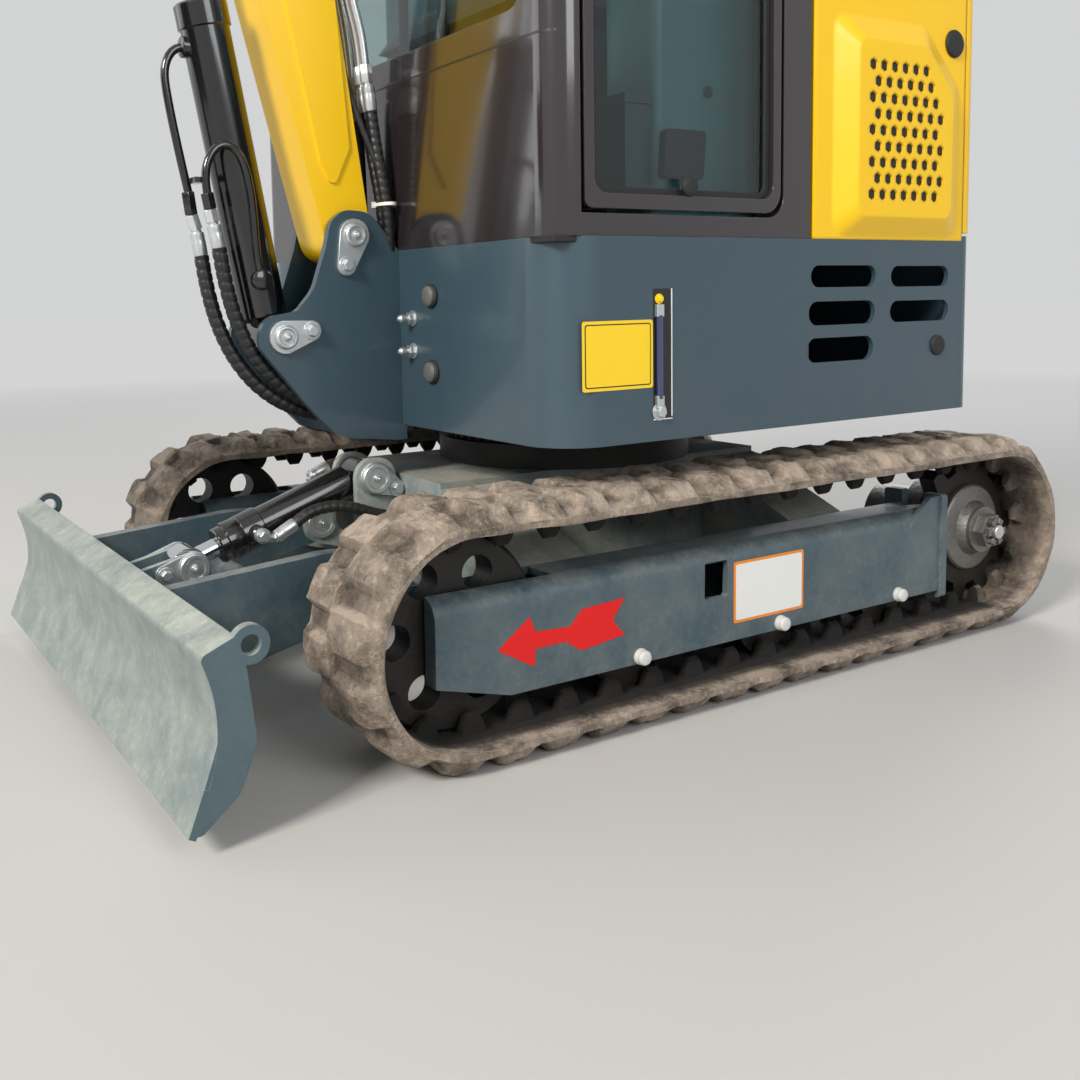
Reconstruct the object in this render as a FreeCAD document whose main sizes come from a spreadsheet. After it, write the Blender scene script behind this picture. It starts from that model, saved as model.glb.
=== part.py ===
import FreeCAD, Part
import math
import os
import types
from FreeCAD import Placement, Rotation, Vector

# Mini excavator of the one tonne class, with an enclosed cab.
# Millimetres. X points to the machine's left, where the door is, -Y to the front, Z up.
# Lengths along Y are measured from the middle of the tracks. The last step moves the
# whole machine so that the origin lies on the ground under the middle of its box.

SIZES = [
    # alias, value
    ("track_x", 490),            # outer face of each track
    ("belt_w", 180),
    ("belt_inner_z", 35),        # inner face of the belt's bottom run
    ("wheel_r", 125),            # radius of the belt's inner face round the end wheels
    ("idler_y", -440),
    ("sprocket_y", 580),
    ("links", 40),
    ("carcass_t", 21),
    ("lug_base", 56),            # lug length at the carcass
    ("lug_tip", 34),
    ("guide_deep", 20),
    ("guide_w", 18),
    ("guide_gap", 44),           # free width between the guide lugs of a link
    ("seat_gap", 0.3),           # where two pieces rest on each other
    ("pin_fit", 0.05),           # running clearance round a pin
    ("roller_z", 86),
    ("roller_w", 38),
    ("roller_pitch", 262),
    ("roller_y", 92),            # middle roller
    ("frame_in", 40),            # from a track's outer face in to its frame's
    ("frame_w", 100),
    ("frame_t", 10),
    ("frame_front", -480),
    ("frame_rear", 470),
    ("frame_low", 77),
    ("frame_top", 211),
    ("frame_nose", 105),         # height of the frame's lower edge at its nose
    ("frame_round", 28),         # bend along the frame's upper edges
    ("core_x", 160),
    ("core_low", 130),
    ("seat_z", 330),             # top of the slew seat
    ("slew_y", 45),
    ("slew_r", 200),
    ("slew_h", 26),
    ("slew_teeth", 54),
    ("blade_w", 980),
    ("blade_y", -773),           # front of the blade's upper edge
    ("blade_top", 210),
    ("blade_low", 28),
    ("blade_t", 8),
    ("push_x", 185),
    ("push_t", 24),
    ("push_y", -345),
    ("push_z", 188),
    ("ear_t", 12),
    ("blade_pin_r", 15),
    ("base_y", -347),            # base pin of the blade cylinder
    ("base_z", 291),
    ("eye_y", -631),             # rod pin of the blade cylinder
    ("eye_z", 191),
    ("skirt_x", 460),
    ("skirt_front", -305),
    ("skirt_rear", 482),
    ("skirt_t", 8),
    ("skirt_low", 371),
    ("skirt_top", 633),
    ("skirt_round", 68),
    ("floor_t", 12),
    ("bracket_x", 64),           # outer face of the boom bracket's plates
    ("bracket_t", 12),
    ("foot_y", -380),            # boom foot pin
    ("foot_z", 655),
    ("foot_r", 36),
    ("ram_y", -493),             # base pin of the boom cylinder
    ("ram_z", 510),
    ("boom_w", 94),
    ("boom_low_len", 729),
    ("boom_low_lean", 11.1),
    ("boom_top_len", 661),
    ("boom_top_lean", 50.5),
    ("boom_mid_deep", 156),
    ("boom_tip_r", 38),
    ("boom_eye_y", -632),        # rod pin of the boom cylinder, on the boom's front
    ("boom_eye_z", 1298),
    ("arm_w", 70),
    ("arm_len", 900),
    ("arm_lean", 35),            # how far the arm hangs forward of plumb
    ("arm_tail_y", -30),
    ("arm_tail_z", 190),
    ("rocker_up", 160),          # rocker pivot, back along the arm from the bucket's pin
    ("rocker_w", 10),
    ("rocker_len", 190),
    ("link_len", 160),
    ("hitch_len", 90),           # between the bucket's two pins
    ("bucket_curl", -5),         # direction of the bucket's two pins in the arm's frame
    ("bucket_w", 400),
    ("bucket_t", 8),
    ("small_pin_r", 12.5),
    ("pin_r", 15),
    ("cab_x", 455),
    ("cab_wall", 38),
    ("cab_top", 2200),
    ("cab_round", 45),
    ("cab_step", 1150),          # height of the engine bay under the cab's rear
    ("cab_low_rear", 145),
    ("cab_rear", 460),
    ("roof_t", 50),
    ("glass_t", 5),
    ("door_gap", 6),
    ("door_t", 34),
    ("cover_t", 20),
    ("blade_ram_r", 30),
    ("boom_ram_r", 37.5),
    ("arm_ram_r", 32),
    ("bucket_ram_r", 28),
    ("bulge", 18),
    ("hood_bow", 58),            # how far the rear bows out behind its corners
]

doc = FreeCAD.newDocument("MiniExcavator")
sheet = doc.addObject("Spreadsheet::Sheet", "Sizes")
for row, (alias, value) in enumerate(SIZES, start=1):
    sheet.set("A%d" % row, str(value))
    sheet.setAlias("A%d" % row, alias)
doc.recompute()
s = types.SimpleNamespace(**{alias: float(sheet.get(alias)) for alias, value in SIZES})
s.frame_x = s.track_x - s.frame_in

parts = []          # finished sub-parts, each with the label of its file


def bind(obj, prop, value):
    """Set a property to a number, or tie it to the sheet when value is an expression."""
    if isinstance(value, str):
        obj.setExpression(prop, value)
    else:
        obj.setExpression(prop, "%.9g" % value)


def polar(y, z, length, lean):
    """The point at a length from (y, z), leaning forward from plumb by lean degrees."""
    a = math.radians(lean)
    return y - length * math.sin(a), z + length * math.cos(a)


def rounded(corners, closed=True):
    """Lines and arcs through corners (u, v) or (u, v, radius)."""
    pts = [(c[0], c[1], c[2] if len(c) > 2 else 0) for c in corners]
    n = len(pts)
    ends = []
    for i, (u, v, r) in enumerate(pts):
        here = Vector(u, v, 0)
        if r <= 0 or (not closed and i in (0, n - 1)):
            ends.append((here, here, None))
            continue
        a = (Vector(pts[i - 1][0], pts[i - 1][1], 0) - here).normalize()
        b = (Vector(pts[(i + 1) % n][0], pts[(i + 1) % n][1], 0) - here).normalize()
        half = a.getAngle(b) / 2
        back = r / math.tan(half)
        middle = (a + b).normalize() * (r / math.sin(half) - r)
        ends.append((here + a * back, here + b * back, here + middle))
    edges = []
    for i in range(n if closed else n - 1):
        start = ends[i][1]
        stop = ends[(i + 1) % n][0]
        if (stop - start).Length > 1e-4:
            edges.append(Part.LineSegment(start, stop))
        nxt = ends[(i + 1) % n]
        if nxt[2] is not None and (closed or i + 1 < n - 1):
            edges.append(Part.Arc(nxt[0], nxt[2], nxt[1]))
    return edges


def shifted(corners, t):
    """An open outline moved sideways by t, to its left when t is positive."""
    pts = [Vector(c[0], c[1], 0) for c in corners]
    out = []
    for i, c in enumerate(corners):
        sides = []
        for a, b in ((i - 1, i), (i, i + 1)):
            if a >= 0 and b < len(pts):
                d = (pts[b] - pts[a]).normalize()
                sides.append(Vector(-d.y, d.x, 0))
        n = sum(sides[1:], sides[0]).normalize()
        p = pts[i] + n * (t / n.dot(sides[0]))
        r = c[2] if len(c) > 2 else 0
        if r and len(sides) == 2:
            turn = sides[0].cross(sides[1]).z
            r = r - t if turn > 0 else r + t
        out.append((p.x, p.y, max(r, 0)))
    return out


def strip(corners, t):
    """The closed outline of a bent plate t thick, on the left of its open outline."""
    return rounded(corners, closed=False) + rounded(shifted(corners, t), closed=False) + [
        Part.LineSegment(Vector(*a[:2], 0), Vector(*b[:2], 0))
        for a, b in ((corners[0], shifted(corners, t)[0]), (corners[-1], shifted(corners, t)[-1]))]


def ring(u, v, r):
    return [Part.Circle(Vector(u, v, 0), Vector(0, 0, 1), r)]


def slot(u0, v0, u1, v1):
    """A level slot with round ends."""
    return rounded([(u0, v0, (v1 - v0) / 2 - 0.01), (u1, v0, (v1 - v0) / 2 - 0.01),
                    (u1, v1, (v1 - v0) / 2 - 0.01), (u0, v1, (v1 - v0) / 2 - 0.01)])


def box_of(u0, v0, u1, v1, r=0):
    return rounded([(u0, v0, r), (u1, v0, r), (u1, v1, r), (u0, v1, r)])


def new_body(label):
    body = doc.addObject("PartDesign::Body", label)
    body.Label = label
    body.AllowCompound = True
    return body


def sketch(body, plane, at, loops):
    sk = body.newObject("Sketcher::SketchObject", body.Label + "_outline")
    base = [f for f in body.Origin.OriginFeatures if f.Role == plane + "_Plane"][0]
    sk.AttachmentSupport = (base, [""])
    sk.MapMode = "FlatFace"
    if plane == "XZ":            # this plane faces the front, and at is counted to the rear
        at = "-(%s)" % at
    if at != 0:
        bind(sk, "AttachmentOffset.Base.z", at)
    for loop in loops:
        sk.addGeometry(loop, False)
    return sk


def pad(body, plane, at, length, *loops, cut=False):
    """Raise the loops from at along the plane's axis, or cut them out."""
    sk = sketch(body, plane, at, loops)
    before = body.Shape.Volume if cut else 0
    feature = body.newObject("PartDesign::Pocket" if cut else "PartDesign::Pad",
                             body.Label + ("_cut" if cut else "_pad"))
    feature.Profile = sk
    bind(feature, "Length", length)
    feature.Reversed = cut != (plane == "XZ")
    doc.recompute()
    if cut and not feature.Shape.Volume < before - 0.01:
        raise ValueError("a cut in %s removes nothing" % body.Label)
    return feature


def cut(body, plane, at, length, *loops):
    return pad(body, plane, at, length, *loops, cut=True)


def raised(body, plane, at, top_at, foot, top):
    """A field with sloped sides, lofted from its foot's corners to those of its top."""
    loft = body.newObject("PartDesign::AdditiveLoft", body.Label + "_raised")
    loft.Profile = sketch(body, plane, at, [rounded(foot)])
    loft.Sections = [sketch(body, plane, top_at, [rounded(top)])]
    loft.Ruled = True
    doc.recompute()
    return loft


def turned(body, loop, axis="X"):
    """Revolve a loop of (along, radius) about the body's X or Z axis."""
    if axis == "Z":
        sk = sketch(body, "XZ", 0, [loop])
    else:
        sk = sketch(body, "XY", 0, [loop])
    feature = body.newObject("PartDesign::Revolution", body.Label + "_turn")
    feature.Profile = sk
    feature.ReferenceAxis = (sk, ["V_Axis" if axis == "Z" else "H_Axis"])
    feature.Angle = 360
    doc.recompute()
    return feature


def finish(obj, y=0, z=0, lean=0, x=0):
    """Put a sub-part in its place and list it. lean tips its Z axis forward."""
    doc.recompute()
    obj.Placement = Placement(Vector(x, y, z), Rotation(Vector(1, 0, 0), lean))
    parts.append(obj)
    return obj


def solid_feature(label, shape):
    obj = doc.addObject("Part::Feature", label)
    obj.Label = label
    obj.Shape = shape
    return finish(obj)


def both_sides():
    return (("left", 1), ("right", -1))


# Tracks

axle_z = s.belt_inner_z + s.wheel_r
belt_span = s.sprocket_y - s.idler_y
belt_line = s.wheel_r + 8.7                     # radius of the line that keeps its length
belt_arc = math.pi * belt_line
belt_loop = 2 * belt_span + 2 * belt_arc
link = belt_loop / s.links
belt_turns = [0, belt_span, belt_span + belt_arc, 2 * belt_span + belt_arc, belt_loop]
lug_h = s.belt_inner_z - s.carcass_t


def on_belt(along, out):
    """The point at a distance along the belt, out beyond its inner face."""
    along %= belt_loop
    r = s.wheel_r + out
    if along <= belt_turns[1]:
        return Vector(0, s.idler_y + along, axle_z - r)
    if along <= belt_turns[2]:
        a = (along - belt_turns[1]) / belt_line
        return Vector(0, s.sprocket_y + r * math.sin(a), axle_z - r * math.cos(a))
    if along <= belt_turns[3]:
        return Vector(0, s.sprocket_y - (along - belt_turns[2]), axle_z + r)
    a = (along - belt_turns[3]) / belt_line
    return Vector(0, s.idler_y - r * math.sin(a), axle_z + r * math.cos(a))


def belt_edges(start, stop, out):
    """Edges that follow the belt from start to stop at one height."""
    marks = [start] + [k * belt_loop + m for k in (0, 1) for m in belt_turns[:-1]
                       if start + 1e-6 < k * belt_loop + m < stop - 1e-6] + [stop]
    edges = []
    for a, b in zip(marks, marks[1:]):
        p, m, q = on_belt(a, out), on_belt((a + b) / 2, out), on_belt(b, out)
        if m.distanceToLine(p, q - p) < 1e-4:
            edges.append(Part.LineSegment(p, q).toShape())
        else:
            edges.append(Part.Arc(p, m, q).toShape())
    return edges


def toothed(phase, base, tip, foot, top, step=1):
    """A closed wire round the belt, with a tooth on every link, or on one link in step."""
    corners = []
    for i in range(0, int(s.links), step):
        mid = (i + phase) * link
        corners += [on_belt(mid - foot / 2, base), on_belt(mid - top / 2, tip),
                    on_belt(mid + top / 2, tip), on_belt(mid + foot / 2, base)]
    return Part.makePolygon(corners + corners[:1])


def plain_loop(out):
    edges = []
    for a, b in zip(belt_turns, belt_turns[1:]):
        edges += belt_edges(a, b, out)
    return Part.Wire(Part.__sortEdges__(edges))


def band(outer, inner, x, width):
    """A band between two wires, from x over its width."""
    face = Part.makeFace([outer, inner], "Part::FaceMakerBullseye")
    shape = face.extrude(Vector(width, 0, 0))
    shape.translate(Vector(x, 0, 0))
    return shape


def belt(side, sign):
    half = s.belt_w / 2
    mid = sign * (s.track_x - half)
    bands = []
    for x, phase in ((mid - half, 0.25), (mid, 0.75)):
        bands.append(band(toothed(phase, s.carcass_t, s.carcass_t + lug_h, s.lug_base, s.lug_tip),
                          plain_loop(0), x, half))
    for x in (mid - s.guide_gap / 2 - s.guide_w, mid + s.guide_gap / 2):
        bands.append(band(plain_loop(s.carcass_t / 3),
                          toothed(0.25, s.carcass_t / 6, -s.guide_deep, 40, 22, 2), x, s.guide_w))
    return solid_feature("belt_" + side, bands[0].fuse(bands[1:]).removeSplitter())


def track_frame(side, sign):
    body = new_body("track_frame_" + side)
    out = s.frame_x
    inn = s.frame_x - s.frame_w
    lo = min(sign * inn, sign * out)
    hi = lo + s.frame_w
    low, top, bend_r = s.frame_low, s.frame_top, s.frame_round
    # A plate bent into a channel, open below, with a wall at its nose
    bent = [(hi, low), (hi, top, bend_r), (lo, top, bend_r), (lo, low)]
    pad(body, "XZ", s.frame_front, s.frame_rear - s.frame_front - 10, strip(bent, s.frame_t))
    pad(body, "XZ", s.frame_front, "Sizes.frame_t", rounded(bent))
    cut(body, "YZ", lo - 1, "Sizes.frame_w + 2",
        rounded([(s.frame_front - 5, low - 5), (s.frame_front + 124, low - 5), (s.frame_front - 5, s.frame_nose + 1)]))
    # Gusset up to the rear plate, and the hole through which the tensioner is greased
    wall = out - s.frame_t if sign > 0 else -out
    rear = s.frame_rear - 14
    pad(body, "YZ", wall, "Sizes.frame_t", rounded([(rear - 90, top - bend_r - 15), (rear + 2, top - bend_r - 15),
                                                    (rear + 2, top + 19), (rear - 22, top + 19), (rear - 66, top - 14)]))
    cut(body, "YZ", wall - 1, "Sizes.frame_t + 2", rounded([(-55, 144, 4), (-12, 142, 5), (-10, 193, 4), (-54, 194, 6)]))
    mid = lo + s.frame_w / 2
    cut(body, "XY", s.frame_low - 20, s.frame_top - s.frame_low + 40,
        box_of(mid - s.roller_w / 2 - 6, s.frame_front - 10, mid + s.roller_w / 2 + 6, s.idler_y + s.wheel_r + 20))
    pad(body, "XZ", s.frame_rear - 14, 14, box_of(lo - 4, s.frame_low - 12, lo + s.frame_w + 4, s.frame_top + 21, 6))
    cut(body, "XZ", s.frame_rear - 30, 40, box_of(mid - 20, s.frame_low - 30, mid + 20, s.frame_top + 40))
    return finish(body)


def rollers(side, sign):
    """Three bottom rollers on axles across the track frame."""
    body = new_body("rollers_" + side)
    mid = sign * (s.track_x - s.belt_w / 2)
    r = s.roller_z - s.belt_inner_z - s.seat_gap
    for k in (-1, 0, 1):
        y = s.roller_y + k * s.roller_pitch
        pad(body, "YZ", mid - s.roller_w / 2, "Sizes.roller_w", ring(y, s.roller_z, r))
        pad(body, "YZ", mid - s.frame_w / 2 + s.frame_t + s.seat_gap,
            "Sizes.frame_w - 2 * Sizes.frame_t - 2 * Sizes.seat_gap", ring(y, s.roller_z, 14))
    return finish(body)


def idler(side, sign):
    body = new_body("idler_" + side)
    r = s.wheel_r - s.seat_gap
    w = s.roller_w / 2
    turned(body, rounded([(-w, 0), (w, 0), (w, r - 6), (w - 6, r), (6 - w, r), (-w, r - 6)]))
    for k in range(6):
        a = math.radians(60 * k)
        cut(body, "YZ", -w - 1, 2 * w + 2, ring(78 * math.cos(a), 78 * math.sin(a), 22))
    pad(body, "YZ", -(s.frame_w / 2 - s.frame_t - s.seat_gap), s.frame_w - 2 * s.frame_t - 2 * s.seat_gap,
        ring(0, 0, 22))
    return finish(body, s.idler_y, axle_z, 0, sign * (s.track_x - s.belt_w / 2))


def sprocket(side, sign):
    body = new_body("sprocket_" + side)
    r = s.wheel_r - s.seat_gap
    teeth = 11
    rim = []
    for k in range(teeth):
        for da, rr in ((-10, r - 26), (-5, r), (5, r), (10, r - 26)):
            a = math.radians(360 * k / teeth + da)
            rim.append((rr * math.cos(a), rr * math.sin(a)))
    pad(body, "YZ", -14, 28, rounded(rim))
    return finish(body, s.sprocket_y, axle_z, 0, sign * (s.track_x - s.belt_w / 2))


def motor(side, sign):
    """Travel motor and its hub, on the track frame's rear plate."""
    body = new_body("motor_" + side)
    far = [(14, 0), (14, 72), (21, 72), (24, 69), (27, 46), (39, 38), (46, 38), (46, 0)]
    turned(body, rounded(far if sign > 0 else [(-u, v) for u, v in far]))
    nut = rounded([(29 * math.cos(math.radians(60 * k)), 29 * math.sin(math.radians(60 * k))) for k in range(6)])
    for start, stop, loop in ((45, 62, nut), (61, 69, ring(0, 0, 12))):
        pad(body, "YZ", start if sign > 0 else -stop, stop - start, loop)
    near = [(-14, 0), (-14, 80), (-60, 80), (-60, 55), (-150, 55), (-150, 0)]
    turned(body, rounded(near if sign > 0 else [(-u, v) for u, v in near]))
    return finish(body, s.sprocket_y, axle_z, 0, sign * (s.track_x - s.belt_w / 2))


# Centre frame

core_front = -300
seat_h = 38


def car_body():
    """The box in the middle, with the ears of the blade cylinder."""
    body = new_body("car_body")
    pad(body, "XY", s.core_low, s.seat_z - s.core_low - seat_h, box_of(-s.core_x, core_front, s.core_x, 340, 4))
    ear = [(s.base_y - 30, s.base_z + 30, 29.9), (s.base_y + 30, s.base_z + 30, 29.9),
           (core_front + 2, 250), (core_front + 2, 190), (s.base_y - 30, 200, 20)]
    gap = s.blade_ram_r + 3
    for x in (gap, -gap - s.ear_t):
        pad(body, "YZ", x, "Sizes.ear_t", rounded(ear))
        cut(body, "YZ", x - 0.5, "Sizes.ear_t + 1", ring(s.base_y, s.base_z, s.blade_pin_r))
    return finish(body)


def slew_seat():
    """The round plate that carries the slew ring."""
    body = new_body("slew_seat")
    pad(body, "XY", s.seat_z - seat_h + s.seat_gap, seat_h - s.seat_gap, ring(0, s.slew_y, s.slew_r + 14))
    return finish(body)


def frame_legs():
    """Four legs out to the track frames, with the push arms' ears on the front pair."""
    body = new_body("frame_legs")
    inner = s.frame_x - s.frame_w
    near = s.core_x + s.seat_gap
    for y in (core_front, 220):
        for sign in (1, -1):
            leg = [(sign * near, s.seat_z - seat_h - 9), (sign * inner, s.frame_top - 6),
                   (sign * inner, s.core_low - 20), (sign * near, s.core_low)]
            pad(body, "XZ", y, 120, rounded(leg))
    ear = [(s.push_y - 28, s.push_z + 28, 27.9), (core_front + 2, s.push_z + 34), (core_front + 2, s.push_z - 50),
           (s.push_y - 28, s.push_z - 28, 27.9)]
    for sign in (1, -1):
        for x in (s.push_x - s.push_t / 2 - s.seat_gap - s.ear_t, s.push_x + s.push_t / 2 + s.seat_gap):
            lo = min(sign * x, sign * (x + s.ear_t))
            pad(body, "YZ", lo, "Sizes.ear_t", rounded(ear))
            cut(body, "YZ", lo - 0.5, "Sizes.ear_t + 1", ring(s.push_y, s.push_z, s.blade_pin_r))
    return finish(body)


def slew_ring():
    body = new_body("slew_ring")
    n = int(s.slew_teeth)
    rim = []
    for k in range(n):
        for da, r in ((-0.3, s.slew_r - 7), (-0.14, s.slew_r), (0.14, s.slew_r), (0.3, s.slew_r - 7)):
            a = 2 * math.pi * (k + da) / n
            rim.append((r * math.cos(a), s.slew_y + r * math.sin(a)))
    pad(body, "XY", "Sizes.seat_z", "Sizes.slew_h", rounded(rim), ring(0, s.slew_y, s.slew_r - 50))
    return finish(body)


def slew_race():
    body = new_body("slew_race")
    pad(body, "XY", "Sizes.seat_z + Sizes.slew_h + Sizes.seat_gap",
        "Sizes.skirt_low - Sizes.seat_z - Sizes.slew_h - Sizes.seat_gap",
        ring(0, s.slew_y, s.slew_r - 12), ring(0, s.slew_y, s.slew_r - 50))
    return finish(body)


# Blade

def blade_face():
    """The front of the blade, from its upper lip down to its lower edge."""
    return [(s.blade_y + 38, s.blade_top + 16), (s.blade_y, s.blade_top, 7),
            (s.blade_y + 29, (s.blade_top + s.blade_low) / 2, 170), (s.blade_y - 19, s.blade_low)]


def ahead_of_blade(t):
    """The outline of all that lies in front of a line t behind the blade's front."""
    front = s.blade_y - 200
    return rounded(shifted(blade_face(), t) + [(front, s.blade_low - 60), (front, s.blade_top + 60)])


def moldboard():
    body = new_body("moldboard")
    half = s.blade_w / 2
    # Ears for the blade cylinder's rod, let into the plate
    ear = [(s.eye_y + 26, s.eye_z + 26, 25.9), (s.eye_y + 26, s.eye_z - 26, 25.9),
           (s.blade_y - 10, s.blade_low + 40), (s.blade_y - 10, s.blade_top - 32)]
    for x in (22, -22 - s.ear_t):
        pad(body, "YZ", x, "Sizes.ear_t", rounded(ear))
    cut(body, "YZ", -s.ear_t - 23, 2 * s.ear_t + 46, ahead_of_blade(s.blade_t / 2))
    face = blade_face()
    pad(body, "YZ", -half, "Sizes.blade_w", strip(face, s.blade_t))
    # Cutting edge along the foot
    y, low, top = s.blade_y, s.blade_low, s.blade_top
    pad(body, "YZ", -half, "Sizes.blade_w", rounded([(y + 6, low + 45), (y - 1, low + 47), (y - 19, low), (y - 12, low)]))
    wing = face + [(y - 4, low, 8), (y + 38, low + 34, 40), (y + 57, low + 84, 50), (y + 49, top - 20, 30),
                   (y + 40, top + 8)]
    for x in (-half, half - s.ear_t):
        pad(body, "YZ", x, "Sizes.ear_t", rounded(wing))
        pad(body, "YZ", x, "Sizes.ear_t", ring(y + 54, top + 4, 21))
        cut(body, "YZ", x - 1, "Sizes.ear_t + 2", ring(y + 54, top + 4, 11))
    return finish(body)


def push_arms():
    """Two bars on edge with a cross tube, welded to the blade's back."""
    body = new_body("push_arms")
    bar = [(s.push_y + 27, s.push_z + 27, 26.9), (s.push_y + 27, s.push_z - 27, 26.9),
           (s.blade_y - 5, s.blade_low + 24), (s.blade_y - 5, s.blade_top - 8), (s.push_y - 155, s.push_z + 35, 120)]
    for sign in (1, -1):
        lo = min(sign * (s.push_x - s.push_t / 2), sign * (s.push_x + s.push_t / 2))
        pad(body, "YZ", lo, "Sizes.push_t", rounded(bar))
    reach_x = s.push_x + s.push_t
    cut(body, "YZ", -reach_x, 2 * reach_x, ahead_of_blade(s.blade_t + s.seat_gap))
    pad(body, "YZ", -s.push_x, "2 * Sizes.push_x", ring(-520, 128, 24))
    for sign in (1, -1):
        lo = min(sign * (s.push_x - s.push_t / 2), sign * (s.push_x + s.push_t / 2))
        cut(body, "YZ", lo - 0.5, "Sizes.push_t + 1", ring(s.push_y, s.push_z, s.blade_pin_r + s.pin_fit))
    return finish(body)


# Cylinders

def reach(y0, z0, y1, z1):
    """Length and forward lean of the line between two pins."""
    return math.hypot(y1 - y0, z1 - z0), math.degrees(math.atan2(y0 - y1, z1 - z0))


def ram(name, base, eye, barrel_len, rod_from, barrel_r, rod_r, eye_r, eye_w, pin_r):
    """Barrel and rod of a cylinder between its base pin and its rod pin.

    rod_from is where the rod starts inside the barrel, counted from the base pin."""
    length, lean = reach(*base, *eye)
    base_w = 2 * barrel_r + 5
    barrel = new_body(name + "_barrel")
    inner = rod_r + s.pin_fit
    outline = [(inner, eye_r + 12), (inner, barrel_len), (barrel_r - 3, barrel_len), (barrel_r, barrel_len - 3),
               (barrel_r, barrel_len - 34), (barrel_r - 3, barrel_len - 36), (barrel_r - 3, eye_r + 4),
               (barrel_r - 12, eye_r - 4), (0, eye_r - 4), (0, eye_r + 12)]
    turned(barrel, rounded(outline), "Z")
    pad(barrel, "YZ", -base_w / 2, base_w, ring(0, 0, eye_r))
    cut(barrel, "YZ", -base_w / 2 - 1, base_w + 2, ring(0, 0, pin_r + s.pin_fit))
    finish(barrel, base[0], base[1], lean)
    rod = new_body(name + "_rod")
    turned(rod, rounded([(0, rod_from), (rod_r, rod_from), (rod_r, length - eye_r + 4),
                         (0, length - eye_r + 4)]), "Z")
    pad(rod, "YZ", -eye_w / 2, eye_w, ring(0, length, eye_r))
    cut(rod, "YZ", -eye_w / 2 - 1, eye_w + 2, ring(0, length, pin_r + s.pin_fit))
    finish(rod, base[0], base[1], lean)


# Upper structure

def platform():
    body = new_body("platform")
    edge = s.skirt_x - s.skirt_t - s.seat_gap
    pad(body, "XY", "Sizes.skirt_low", "Sizes.floor_t",
        box_of(-edge, s.skirt_front + s.skirt_t + s.seat_gap, edge, s.skirt_rear, s.skirt_round - s.skirt_t))
    pad(body, "XY", s.skirt_top - s.floor_t, "Sizes.floor_t",
        box_of(-edge, s.skirt_front + s.skirt_t + s.seat_gap, edge, s.cab_low_rear, s.skirt_round - s.skirt_t))
    # Bulkhead between cab and engine
    pad(body, "XY", s.skirt_low + s.floor_t - 1, s.skirt_top - s.skirt_low - 2 * s.floor_t + 2,
        box_of(-edge, s.cab_low_rear - 12, edge, s.cab_low_rear))
    return finish(body)


def bracket():
    body = new_body("boom_bracket")
    x = s.bracket_x
    fy, fz, cy, cz = s.foot_y, s.foot_z, s.ram_y, s.ram_z
    cheek = [(fy - 36, fz + 20, 30), (fy - 14, fz + 37, 30), (fy + 28, fz + 34, 34),
             (s.skirt_front, s.skirt_top), (s.skirt_front + 8.5, s.skirt_top - 18),
             (-150, s.skirt_top - 24), (-150, s.skirt_low + s.floor_t + 0.3),
             (s.skirt_front + 7, s.skirt_low + s.floor_t + 0.3), (s.skirt_front + 7, s.skirt_low - 23),
             (-314, s.skirt_low - 23, 20), (-412, 359, 60), (-462, 411, 30),
             (cy - 38, cz - 14, 26), (cy - 36, cz + 28, 30), (cy + 20, cz + 36, 20),
             (-446, 576, 60), (-424, 640, 30)]
    for lo in (x - s.bracket_t, -x):
        pad(body, "YZ", lo, "Sizes.bracket_t", rounded(cheek))
    web = [(-468, 420), (-410, 365), (-330, 356), (-330, 368), (-404, 377), (-459, 429)]
    pad(body, "YZ", -x + s.bracket_t, "2 * (Sizes.bracket_x - Sizes.bracket_t)", rounded(web))
    back = box_of(s.skirt_front - 6, s.skirt_low - 10, s.skirt_front + 6, s.skirt_top - 60)
    pad(body, "YZ", -x + s.bracket_t, "2 * (Sizes.bracket_x - Sizes.bracket_t)", back)
    for lo in (x - s.bracket_t, -x):
        cut(body, "YZ", lo - 0.5, "Sizes.bracket_t + 1", ring(fy, fz, s.pin_r), ring(cy, cz, s.pin_r))
    return finish(body)


def skirt(side, sign):
    body = new_body("skirt_" + side)
    x0 = s.bracket_x + s.seat_gap
    line = [(sign * x0, s.skirt_front), (sign * s.skirt_x, s.skirt_front, s.skirt_round),
            (sign * s.skirt_x, s.skirt_rear)]
    pad(body, "XY", "Sizes.skirt_low", "Sizes.skirt_top - Sizes.skirt_low", strip(line, sign * s.skirt_t))
    lo = sign * s.skirt_x - 20
    slots = [(139, 565, 279, 596), (135, 511, 278, 545), (132, 458, 275, 493), (313, 564, 451, 595),
             (312, 511, 452, 543)]
    cut(body, "YZ", lo, 40, *[slot(*q) for q in slots])
    if sign > 0:
        cut(body, "YZ", lo, 40, box_of(-144, 401, -132, 566, 3))
    return finish(body)


def rear_line():
    """The rear's outline from right to left, bowed out behind its corners."""
    y = s.skirt_rear + s.seat_gap
    return [(-s.skirt_x, y), (-s.skirt_x, y + 26, 24),
            (0, y + 26 + s.hood_bow, 900), (s.skirt_x, y + 26, 24), (s.skirt_x, y)]


def counterweight():
    body = new_body("counterweight")
    pad(body, "XY", "Sizes.skirt_low", "Sizes.skirt_top - Sizes.skirt_low + 8", rounded(rear_line()))
    return finish(body)


def engine():
    body = new_body("engine")
    pad(body, "XY", s.skirt_low + s.floor_t + s.seat_gap, 360, box_of(-200, 190, 170, 440, 25))
    return finish(body)


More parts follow.
